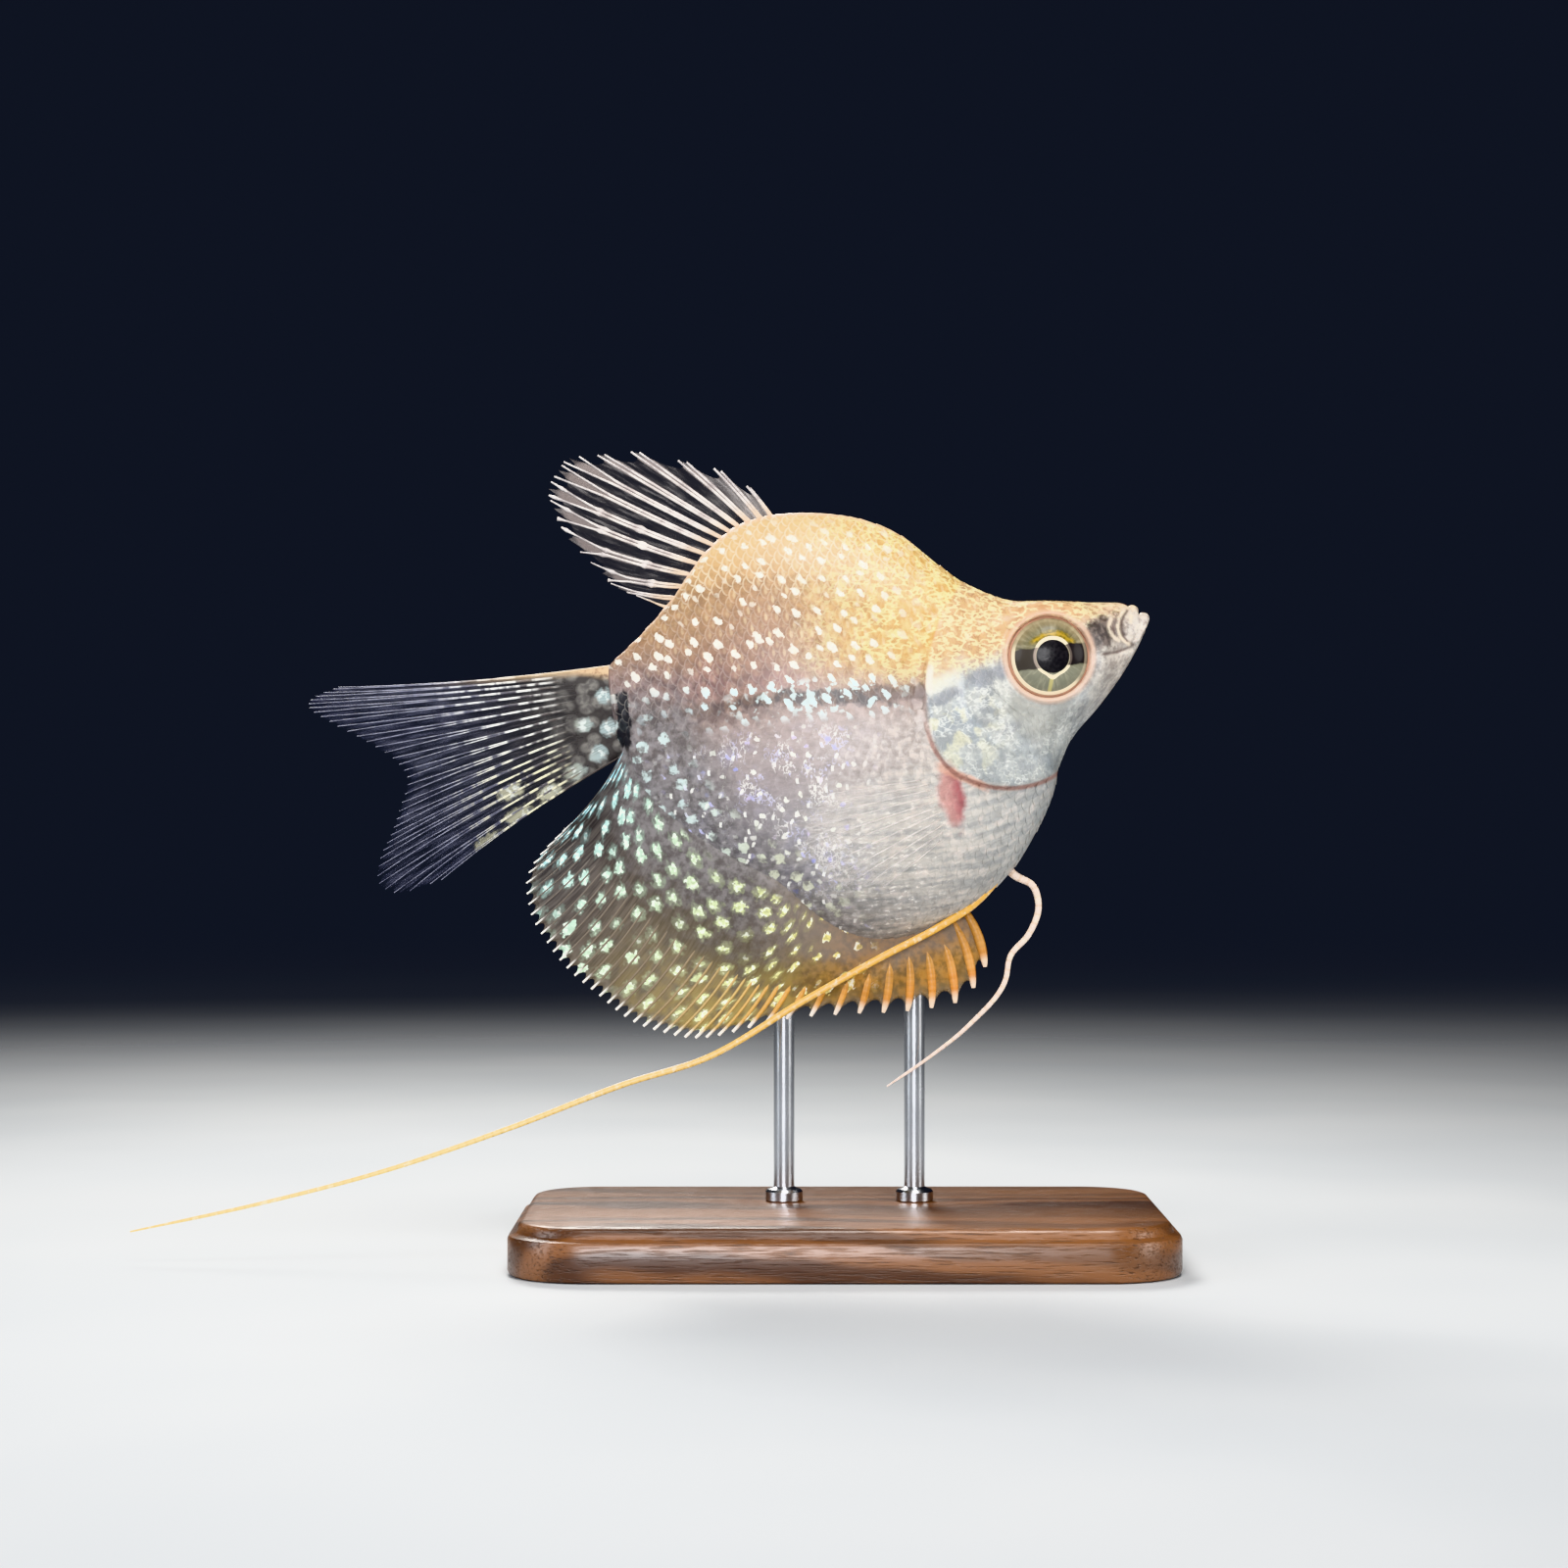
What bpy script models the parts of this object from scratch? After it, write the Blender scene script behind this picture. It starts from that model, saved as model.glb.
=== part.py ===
"""A pearl gourami of the short-bodied form, life size, swimming on a small display stand.

Metres, +Z up. The fish faces +X and its right flank faces -Y. The origin is the centre
of the stand's underside.
"""

import math

import bmesh
import bpy
import numpy as np
from mathutils import Matrix, Vector

MM = 0.001
GAP = 0.3 * MM

# The body is a loft. Each station runs from a point of the back to a point of the belly.
# Columns: back x, back z, belly x, belly z, half width, share of the depth at which it is
# widest, and the powers that sharpen the section above and below that place.
STATIONS = np.array(
    (
        (22.05, 49.80, 23.10, 47.75, 1.20, 0.50, 0.70, 0.50),
        (21.35, 50.20, 22.45, 46.40, 1.75, 0.50, 0.75, 0.65),
        (20.20, 50.25, 21.35, 44.50, 2.55, 0.48, 0.65, 0.95),
        (18.20, 50.25, 19.55, 42.05, 3.30, 0.46, 0.60, 1.00),
        (15.60, 50.30, 17.70, 39.90, 3.95, 0.45, 0.60, 1.00),
        (12.80, 50.35, 16.85, 38.20, 4.50, 0.47, 0.65, 1.00),
        (10.60, 51.10, 16.50, 37.20, 4.85, 0.50, 0.80, 1.00),
        (8.60, 52.15, 16.20, 35.60, 5.15, 0.52, 0.95, 1.00),
        (6.40, 53.90, 15.30, 33.45, 5.45, 0.54, 1.10, 1.00),
        (4.10, 55.60, 13.50, 30.30, 5.75, 0.56, 1.20, 1.00),
        (1.50, 56.60, 11.25, 27.90, 5.95, 0.58, 1.20, 1.00),
        (-1.10, 57.05, 7.90, 25.60, 6.00, 0.58, 1.20, 1.05),
        (-3.75, 57.10, 3.40, 24.30, 5.80, 0.57, 1.20, 1.15),
        (-6.40, 56.75, -1.10, 24.80, 5.30, 0.56, 1.20, 1.25),
        (-8.60, 55.80, -5.60, 26.80, 4.60, 0.55, 1.15, 1.25),
        (-10.90, 53.70, -9.75, 29.30, 3.70, 0.52, 1.10, 1.20),
        (-12.90, 50.80, -12.75, 31.95, 2.90, 0.50, 1.00, 1.10),
        (-15.00, 48.30, -14.85, 34.40, 2.20, 0.50, 0.90, 1.00),
        (-16.50, 46.80, -16.05, 36.70, 1.70, 0.50, 0.90, 0.90),
        (-17.85, 45.50, -16.70, 38.55, 1.10, 0.50, 0.90, 0.90),
    )
)
RINGS_PER_STATION = 2.4
RING_POINTS = 28
NOSE_DOME = 0.35 * MM
TAIL_DOME = 0.55 * MM

# The gill cover's rear edge, from the nape round to the throat, x and z in millimetres.
GILL_EDGE = (
    (10.6, 54.6),
    (9.2, 52.4),
    (7.6, 49.6),
    (6.4, 46.6),
    (6.05, 43.4),
    (6.4, 40.2),
    (7.7, 37.8),
    (9.9, 36.5),
    (12.4, 36.1),
    (14.8, 36.5),
    (16.8, 37.5),
    (18.6, 38.6),
)
GILL_CENTRE = (11.25, 42.3)
GILL_FLARE = 0.4 * MM
GILL_FLARE_WIDTH = 2.6 * MM
# The flare runs out upwards and forwards, and no form of the head reaches the ridge.
GILL_FLARE_TOP = (46.5 * MM, 50.5 * MM)
GILL_FLARE_FRONT = (14.5 * MM, 17 * MM)
RIDGE_HALF_WIDTH = 2 * MM
GILL_OUTLINE_POINTS = 34
# Corners of the head's side view outline, clear of the body.
HEAD_CORNERS = ((40, 38), (40, 66), (14, 66))
HEAD_HALF_WIDTH = 20 * MM
STALK_CUT_X = -13.9 * MM

EYE_CENTRE = (15.5, 45.9)
EYE_RADIUS = 3.2 * MM
EYE_DEPTH = 2.0 * MM
EYE_PROUD = 0.9 * MM
# The head is flat round the eye, out to the orbit's rim, and runs out evenly past it.
ORBIT_RADIUS = 3.3 * MM
ORBIT_FADE = 5.6 * MM

# The mouth's line in the side view. A lip's reach is its share of that line's length.
MOUTH_NOTCH = (22.6, 49.3)
MOUTH_CORNER = (22.1, 47.0)
MOUTH_HALF_WIDTH = 1.25 * MM
UPPER_LIP_REACH = 1.05
LOWER_LIP_REACH = 0.86
LIP_RADIUS = 0.52 * MM
LIP_CORNER_RADIUS = 0.2 * MM
LIP_POINTS = 13
LIP_END_DEPTH = 1.25 * MM
LIP_END_HALF_WIDTH = 0.5 * MM
# The slit between the lips: its half length and its centre as shares of the mouth's line.
SLIT_REACH = 0.72
SLIT_CENTRE = 0.74
SLIT_HALF_WIDTH = 2.0 * MM
NOSTRILS = ((19.65, 48.9), (20.75, 49.2))
NOSTRIL_RADIUS = 0.32 * MM
NOSTRIL_DEPTH = 0.45 * MM

# A fin is a web with its rays raised in both of its faces. Half thicknesses, and how the
# web's columns lie between two rays: beside each ray, and midway, where the edge is notched.
WEB_HALF = 0.26 * MM
RAY_HALF = 0.46 * MM
RAY_TIP_HALF = 0.3 * MM
RAY_SHOULDER = 0.2
SHOULDER_REACH = 0.97
RAY_SHARES = (0, 0.3, 0.6, 0.85, 1)
EDGE_WIDTH = 0.35 * MM
ROOT_DEPTH = 1.3 * MM

ANAL_RAYS = 34
ANAL_STATIONS = (10.9, 18.2)
ANAL_BOWS = (-0.16, -0.1)
ANAL_REACH = 0.9
# Share of the way along the root, and the tip of the ray there.
ANAL_TIPS = (
    (0.00, 10.9, 22.3),
    (0.06, 9.15, 19.8),
    (0.12, 5.4, 19.0),
    (0.21, 0.2, 18.7),
    (0.30, -5.25, 18.15),
    (0.36, -10.1, 16.95),
    (0.45, -14.4, 17.5),
    (0.61, -18.9, 20.3),
    (0.76, -22.3, 23.7),
    (0.85, -24.0, 26.9),
    (0.92, -23.85, 29.9),
    (0.97, -21.7, 32.4),
    (1.00, -19.6, 34.3),
)

DORSAL_RAYS = 13
DORSAL_STATIONS = (12.45, 15.95)
DORSAL_BOWS = (0.04, -0.08)
DORSAL_REACH = 0.82
DORSAL_TIPS = (
    (0.00, -7.1, 58.95),
    (0.08, -9.5, 60.3),
    (0.17, -12.4, 61.0),
    (0.25, -15.9, 61.7),
    (0.33, -18.4, 61.5),
    (0.42, -21.0, 61.2),
    (0.50, -21.75, 60.3),
    (0.58, -22.5, 58.95),
    (0.67, -22.1, 57.3),
    (0.75, -21.0, 55.05),
    (0.83, -18.5, 52.5),
    (0.92, -17.25, 51.3),
    (1.00, -14.85, 50.4),
)

CAUDAL_RAYS = 17
CAUDAL_ROOTS = ((-16.6, 44.9), (-15.6, 39.2))
CAUDAL_BOWS = (-0.03, 0.05)
CAUDAL_REACH = 0.95
CAUDAL_TIPS = (
    (0.00, -38.6, 43.7),
    (0.08, -40.5, 42.9),
    (0.15, -40.8, 42.15),
    (0.25, -39.0, 40.9),
    (0.35, -36.4, 39.5),
    (0.45, -34.1, 37.95),
    (0.52, -33.3, 36.7),
    (0.60, -33.75, 34.8),
    (0.70, -34.5, 32.55),
    (0.80, -35.4, 30.45),
    (0.88, -35.4, 28.6),
    (0.95, -33.6, 28.0),
    (1.00, -30.75, 28.95),
)

PECTORAL_RAYS = 11
PECTORAL_ROOTS = ((8.5, 37.0), (9.5, 33.7))
PECTORAL_TIPS = (
    (0.00, -1.2, 35.6),
    (0.25, -2.9, 33.4),
    (0.50, -2.6, 30.9),
    (0.75, -0.6, 28.9),
    (1.00, 3.0, 28.6),
)
PECTORAL_SPLAY = math.radians(24)
PECTORAL_CUP = 0.10
PECTORAL_REACH = 0.95
PECTORAL_ROOT_DEPTH = 0.78 * MM

# Feeler routes: x, y and z in millimetres, from inside the belly to the tip.
RIGHT_FEELER = (
    (12.7, -0.7, 30.6),
    (11.6, -0.8, 28.9),
    (9.9, -1.0, 27.1),
    (7.6, -1.5, 25.6),
    (3.0, -2.2, 23.2),
    (-3.0, -2.3, 19.85),
    (-10.5, -2.3, 15.45),
    (-16.5, -2.35, 13.55),
    (-25.0, -2.45, 10.3),
    (-34.5, -2.6, 7.05),
    (-44.0, -2.8, 4.55),
    (-54.0, -3.0, 2.4),
)
LEFT_FEELER = (
    (12.2, 0.75, 30.4),
    (13.2, 0.85, 29.3),
    (14.6, 0.95, 28.5),
    (15.05, 1.0, 27.0),
    (14.3, 1.05, 24.75),
    (12.9, 1.1, 23.1),
    (12.5, 1.1, 21.2),
    (9.75, 1.15, 17.8),
    (6.4, 1.2, 15.1),
    (3.4, 1.2, 13.05),
)
FEELER_RADII = (0.38 * MM, 0.26 * MM, 0.16 * MM)
ROUTE_SAMPLES = 400
RIGHT_FEELER_STEP = 1.5 * MM
LEFT_FEELER_STEP = 0.8 * MM
RIGHT_FEELER_CUTS = (24.0 * MM, 48.0 * MM)
LEFT_FEELER_CUTS = (11.5 * MM,)

BASE_SIZE = (50 * MM, 30 * MM, 4 * MM)
BASE_CORNER = 6 * MM
BASE_EDGE = 0.7 * MM
ROD_RADIUS = 0.8 * MM
ROD_Y = 3.5 * MM
ROD_TOP = 36 * MM
ROD_X = {"stand_rod_front": 5.6 * MM, "stand_rod_rear": -4.5 * MM}

COLOURS = {
    "gold_skin": ((0.60, 0.44, 0.29), 0.45, 0.0),
    "silver_skin": ((0.62, 0.60, 0.58), 0.40, 0.1),
    "eye": ((0.55, 0.50, 0.28), 0.15, 0.0),
    "clear_fin": ((0.50, 0.50, 0.52), 0.40, 0.0),
    "anal_fin": ((0.22, 0.20, 0.14), 0.40, 0.0),
    "feeler": ((0.85, 0.70, 0.42), 0.45, 0.0),
    "walnut": ((0.18, 0.10, 0.055), 0.45, 0.0),
    "steel": ((0.60, 0.60, 0.61), 0.30, 1.0),
}


def smooth(low, high, value):
    """0 below low, 1 above high, and an even ramp between."""
    share = min(max((value - low) / (high - low), 0.0), 1.0)
    return share * share * (3.0 - 2.0 * share)


def spline(knots, values, at):
    """Where a smooth curve through the values lies at one place along the knots."""
    knots = np.asarray(knots, float)
    values = np.asarray(values, float)
    slopes = np.gradient(values, knots, axis=0)
    i = int(np.clip(np.searchsorted(knots, at) - 1, 0, len(knots) - 2))
    width = knots[i + 1] - knots[i]
    t = (at - knots[i]) / width
    start = (1 + 2 * t) * (1 - t) ** 2 * values[i] + t * (1 - t) ** 2 * width * slopes[i]
    end = t * t * (3 - 2 * t) * values[i + 1] + t * t * (t - 1) * width * slopes[i + 1]
    return start + end


def on_plane(x_mm, z_mm, y=0.0):
    """A point of the fish's middle plane, from millimetres."""
    return Vector((x_mm * MM, y, z_mm * MM))


def section(u):
    """The back point, the belly point and the section's half width, widest share and powers."""
    row = spline(range(len(STATIONS)), STATIONS, u)
    back = on_plane(row[0], row[1])
    belly = on_plane(row[2], row[3])
    return back, belly, row[4] * MM, row[5], row[6], row[7]


def section_point(u, angle):
    """A point of the left flank: angle 0 is the back's ridge and pi the belly's."""
    back, belly, half_width, widest, upper, lower = section(u)
    lean = math.cos(angle)
    if lean >= 0:
        share = widest * (1 - lean)
        power = upper
    else:
        share = widest - (1 - widest) * lean
        power = lower
    point = back.lerp(belly, share)
    point.y = half_width * max(math.sin(angle), 0.0) ** power
    return point


def station_of(point):
    """The station whose line from back to belly passes through a point of the middle plane."""
    low = 0.0
    high = len(STATIONS) - 1.0
    for _ in range(30):
        middle = (low + high) / 2
        back, belly = section(middle)[:2]
        along = belly - back
        offset = point - back
        if along.z * offset.x - along.x * offset.z > 0:
            low = middle
        else:
            high = middle
    return (low + high) / 2


def flank(x_mm, z_mm):
    """The body's half width at a place of its side view."""
    point = on_plane(x_mm, z_mm)
    u = station_of(point)
    back, belly, _, widest, _, _ = section(u)
    along = belly - back
    share = (point - back).dot(along) / along.length_squared
    share = min(max(share, 0.0), 1.0)
    if share <= widest:
        angle = math.acos(1 - share / widest)
    else:
        angle = math.acos((widest - share) / (1 - widest))
    return section_point(u, angle).y


def edge_distance(point, edge):
    """How far a point of the side view lies from an open line of points."""
    nearest = math.inf
    for first, second in zip(edge, edge[1:]):
        along = second - first
        share = (point - first).dot(along) / along.length_squared
        share = min(max(share, 0.0), 1.0)
        nearest = min(nearest, (point - first - along * share).length)
    return nearest


def material(name):
    colour, roughness, metallic = COLOURS[name]
    made = bpy.data.materials.get(name)
    if made is None:
        made = bpy.data.materials.new(name)
        made.use_nodes = True
        shader = made.node_tree.nodes["Principled BSDF"]
        shader.inputs["Base Color"].default_value = (*colour, 1.0)
        shader.inputs["Roughness"].default_value = roughness
        shader.inputs["Metallic"].default_value = metallic
        made.diffuse_color = (*colour, 1.0)
    return made


def add_object(name, mesh, finish=None):
    """A mesh as a part with its finish, or as a hidden cutter when it has none."""
    made = bpy.data.objects.new(name, mesh)
    if finish is None:
        cutters.objects.link(made)
        made.hide_render = True
        made.display_type = "WIRE"
    else:
        parts.objects.link(made)
        mesh.materials.clear()
        mesh.materials.append(material(finish))
    return made


def mesh_of(obj):
    """An object's evaluated shape as a welded mesh in world space. The object is removed."""
    bpy.context.view_layer.update()
    graph = bpy.context.evaluated_depsgraph_get()
    mesh = bpy.data.meshes.new_from_object(obj.evaluated_get(graph))
    mesh.transform(obj.matrix_world)
    bpy.data.objects.remove(obj)
    shape = bmesh.new()
    shape.from_mesh(mesh)
    bmesh.ops.remove_doubles(shape, verts=shape.verts, dist=0.001 * MM)
    shape.to_mesh(mesh)
    shape.free()
    return mesh


def largest_body(mesh):
    """Leave a mesh only the closed surface that holds the most faces."""
    shape = bmesh.new()
    shape.from_mesh(mesh)
    unseen = set(shape.faces)
    bodies = []
    while unseen:
        body = []
        stack = [unseen.pop()]
        while stack:
            face = stack.pop()
            body.append(face)
            for edge in face.edges:
                for other in edge.link_faces:
                    if other in unseen:
                        unseen.remove(other)
                        stack.append(other)
        bodies.append(body)
    bodies.sort(key=len)
    for body in bodies[:-1]:
        bmesh.ops.delete(shape, geom=body, context="FACES")
    shape.to_mesh(mesh)
    shape.free()


def apply_boolean(obj, operation, cutter=None, group=None):
    """Cut, keep or join a part with one cutter or with a collection of them."""
    step = obj.modifiers.new("step", "BOOLEAN")
    step.operation = operation
    step.solver = "EXACT"
    if group is None:
        step.object = cutter
    else:
        step.operand_type = "COLLECTION"
        step.collection = group
    bpy.context.view_layer.update()
    graph = bpy.context.evaluated_depsgraph_get()
    mesh = bpy.data.meshes.new_from_object(obj.evaluated_get(graph))
    obj.modifiers.clear()
    largest_body(mesh)
    obj.data = mesh


def join(obj, meshes):
    """Fuse closed meshes with a part by one union."""
    group = bpy.data.collections.new("joined")
    bpy.context.scene.collection.children.link(group)
    for mesh in meshes:
        group.objects.link(bpy.data.objects.new("piece", mesh))
    apply_boolean(obj, "UNION", group=group)
    for piece in list(group.objects):
        bpy.data.objects.remove(piece)
    bpy.data.collections.remove(group)


def smooth_shade(obj, degrees=40):
    obj.data.shade_smooth()
    obj.data.set_sharp_from_angle(angle=math.radians(degrees))


def loft(rings, start, end):
    """A closed mesh of triangles through rings of equally many points, with pointed ends."""
    shape = bmesh.new()
    rows = [[shape.verts.new(point) for point in ring] for ring in rings]
    count = len(rows[0])
    for near, far in zip(rows, rows[1:]):
        for i in range(count):
            j = (i + 1) % count
            shape.faces.new((near[i], near[j], far[j]))
            shape.faces.new((near[i], far[j], far[i]))
    for row, tip in ((rows[0], start), (rows[-1], end)):
        centre = shape.verts.new(tip)
        for i in range(count):
            shape.faces.new((row[i], row[(i + 1) % count], centre))
    bmesh.ops.recalc_face_normals(shape, faces=shape.faces)
    mesh = bpy.data.meshes.new("loft")
    shape.to_mesh(mesh)
    shape.free()
    return mesh


def shape_head(point, edge, orbit):
    """Widen a point of the left flank near the gill cover's edge, and level it round the eye."""
    flat = Vector((point.x, 0, point.z))
    near = 1 - smooth(0, GILL_FLARE_WIDTH, edge_distance(flat, edge))
    below = 1 - smooth(*GILL_FLARE_TOP, point.z)
    behind = 1 - smooth(*GILL_FLARE_FRONT, point.x)
    off_ridge = smooth(0, RIDGE_HALF_WIDTH, point.y)
    around = 1 - smooth(ORBIT_RADIUS, ORBIT_FADE, (flat - on_plane(*EYE_CENTRE)).length)
    point.y += (orbit - point.y) * around * off_ridge
    point.y += GILL_FLARE * near * below * behind * off_ridge


def body_loft(swell=0.0, head=False):
    """The whole body's surface, swollen all over, or with the head's own forms."""
    last = len(STATIONS) - 1
    count = int(last * RINGS_PER_STATION) + 1
    edge = [on_plane(x, z) for x, z in GILL_EDGE]
    orbit = flank(*EYE_CENTRE)
    rings = []
    for u in np.linspace(0, last, count):
        ring = []
        for i in range(RING_POINTS):
            turn = math.tau * i / RING_POINTS
            point = section_point(u, min(turn, math.tau - turn))
            if head:
                shape_head(point, edge, orbit)
            if turn > math.pi:
                point.y = -point.y
            ring.append(point)
        rings.append(ring)
    nose_back, nose_belly = section(0)[:2]
    tail_back, tail_belly = section(last)[:2]
    nose = (nose_back + nose_belly) / 2 + Vector((NOSE_DOME, 0, 0.4 * NOSE_DOME))
    tail = (tail_back + tail_belly) / 2 - Vector((TAIL_DOME, 0, 0))
    mesh = loft(rings, nose, tail)
    if swell:
        shape = bmesh.new()
        shape.from_mesh(mesh)
        shape.normal_update()
        for vert in shape.verts:
            vert.co += vert.normal * swell
        shape.to_mesh(mesh)
        shape.free()
    return mesh


def plate(outline, half_thickness):
    """A closed plate with a flat outline in the side view, through the middle plane."""
    curve = bpy.data.curves.new("plate", "CURVE")
    curve.dimensions = "2D"
    curve.fill_mode = "BOTH"
    curve.extrude = half_thickness
    line = curve.splines.new("POLY")
    line.points.add(len(outline) - 1)
    for point, place in zip(line.points, outline):
        point.co = (place.x, place.z, 0, 1)
    line.use_cyclic_u = True
    obj = bpy.data.objects.new("plate", curve)
    bpy.context.scene.collection.objects.link(obj)
    obj.rotation_euler = (math.radians(90), 0, 0)
    mesh = mesh_of(obj)
    shape = bmesh.new()
    shape.from_mesh(mesh)
    bmesh.ops.recalc_face_normals(shape, faces=shape.faces)
    shape.to_mesh(mesh)
    shape.free()
    return mesh


def head_outline(step_back):
    """The side view's outline of all that lies before the gill edge, moved back by a step."""
    centre = on_plane(*GILL_CENTRE)
    outline = []
    for at in np.linspace(0, len(GILL_EDGE) - 1, GILL_OUTLINE_POINTS):
        point = on_plane(*spline(range(len(GILL_EDGE)), GILL_EDGE, at))
        outline.append(point + (point - centre).normalized() * step_back)
    for x, z in HEAD_CORNERS:
        outline.append(on_plane(x, z))
    return outline


def box(size, centre):
    bpy.ops.mesh.primitive_cube_add(size=1, location=centre)
    obj = bpy.context.object
    obj.scale = size
    return mesh_of(obj)


def ellipsoid(radii, centre, segments, rings):
    """An ellipsoid whose poles lie along Y."""
    bpy.ops.mesh.primitive_uv_sphere_add(segments=segments, ring_count=rings, radius=1)
    obj = bpy.context.object
    obj.rotation_euler = (math.radians(90), 0, 0)
    obj.scale = (radii[0], radii[2], radii[1])
    obj.location = centre
    return mesh_of(obj)


def tube(points, radii, resolution=1):
    """A round tube along points, with a radius at each, as a closed mesh."""
    curve = bpy.data.curves.new("tube", "CURVE")
    curve.dimensions = "3D"
    curve.bevel_depth = 1.0
    curve.bevel_resolution = resolution
    curve.use_fill_caps = True
    line = curve.splines.new("POLY")
    line.points.add(len(points) - 1)
    for point, place, radius in zip(line.points, points, radii):
        point.co = (*place, 1)
        point.radius = radius
    obj = bpy.data.objects.new("tube", curve)
    bpy.context.scene.collection.objects.link(obj)
    return mesh_of(obj)


def mouth_frame():
    """The mouth's corner, the line from there up to its notch, and the way the mouth faces."""
    corner = on_plane(*MOUTH_CORNER)
    rise = on_plane(*MOUTH_NOTCH) - corner
    across = Vector((rise.z, 0, -rise.x)).normalized()
    return corner, rise, across


def lip(offset, reach):
    """One lip: a tube round the front of the mouth, thinnest at the corners."""
    corner, rise, across = mouth_frame()
    points = []
    radii = []
    for angle in np.linspace(0, math.pi, LIP_POINTS):
        front = math.sin(angle)
        point = corner + rise * reach * front + across * offset * math.sqrt(front)
        point.y = MOUTH_HALF_WIDTH * math.cos(angle)
        points.append(point)
        radii.append(LIP_CORNER_RADIUS + (LIP_RADIUS - LIP_CORNER_RADIUS) * front)
    for at, side in ((0, 1), (len(points), -1)):
        buried = corner - across * LIP_END_DEPTH
        buried.y = side * LIP_END_HALF_WIDTH
        points.insert(at, buried)
        radii.insert(at, LIP_CORNER_RADIUS)
    return tube(points, radii, resolution=2)


def mouth_cutter():
    """The flat oval slit between the lips."""
    corner, rise, across = mouth_frame()
    bpy.ops.mesh.primitive_cylinder_add(vertices=32, radius=1, depth=1)
    obj = bpy.context.object
    stretch = Matrix.Diagonal((rise.length * SLIT_REACH, SLIT_HALF_WIDTH, GAP, 1))
    turn = Matrix((rise.normalized(), Vector((0, 1, 0)), across)).transposed().to_4x4()
    obj.matrix_world = Matrix.Translation(corner + rise * SLIT_CENTRE) @ turn @ stretch
    return mesh_of(obj)


def make_head(gill_front):
    head = add_object("head", body_loft(head=True), "gold_skin")
    apply_boolean(head, "INTERSECT", gill_front)
    lips = (lip(-LIP_RADIUS, UPPER_LIP_REACH), lip(0.9 * LIP_RADIUS, LOWER_LIP_REACH))
    join(head, lips)
    apply_boolean(head, "DIFFERENCE", add_object("mouth_slit", mouth_cutter()))
    for side in (-1, 1):
        for x, z in NOSTRILS:
            centre = on_plane(x, z, side * flank(x, z))
            radii = (NOSTRIL_RADIUS, NOSTRIL_DEPTH, NOSTRIL_RADIUS)
            pit = add_object("nostril_pit", ellipsoid(radii, centre, 8, 6))
            apply_boolean(head, "DIFFERENCE", pit)
    smooth_shade(head)
    return head


def make_eye(head, name, side):
    """An eyeball in its socket, whose wall stays a gap away."""
    deep = flank(*EYE_CENTRE) + EYE_PROUD - EYE_DEPTH
    centre = on_plane(*EYE_CENTRE, side * deep)
    radii = Vector((EYE_RADIUS, EYE_DEPTH, EYE_RADIUS))
    hollow = radii + Vector((GAP, GAP, GAP))
    socket = add_object(f"{name}_socket", ellipsoid(hollow, centre, 24, 14))
    apply_boolean(head, "DIFFERENCE", socket)
    eye = add_object(name, ellipsoid(radii, centre, 22, 12), "eye")
    smooth_shade(eye)


def make_trunk_and_stalk(gill_back):
    far = 60 * MM
    before = STALK_CUT_X - GAP / 2
    behind = STALK_CUT_X + GAP / 2
    tall = (2 * far, far, 3 * far)
    rear_box = add_object("rear_box", box(tall, (behind - far, 0, far)))
    front_box = add_object("front_box", box(tall, (before + far, 0, far)))
    trunk = add_object("trunk", body_loft(), "silver_skin")
    apply_boolean(trunk, "DIFFERENCE", gill_back)
    apply_boolean(trunk, "DIFFERENCE", rear_box)
    smooth_shade(trunk)
    stalk = add_object("tail_stalk", body_loft(), "silver_skin")
    apply_boolean(stalk, "DIFFERENCE", front_box)
    smooth_shade(stalk)


def ray_points(root, tip, bow, shares):
    """Points of one ray: a curve from root to tip that bows to one side."""
    along = tip - root
    side = Vector((along.z, 0, -along.x))
    middle = (root + tip) / 2 + side * bow
    made = []
    for t in shares:
        made.append(root * (1 - t) ** 2 + middle * 2 * t * (1 - t) + tip * t * t)
    return made


def blend(first, second, share):
    """Points part of the way from one line of points to another."""
    return [a.lerp(b, share) for a, b in zip(first, second)]


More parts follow.
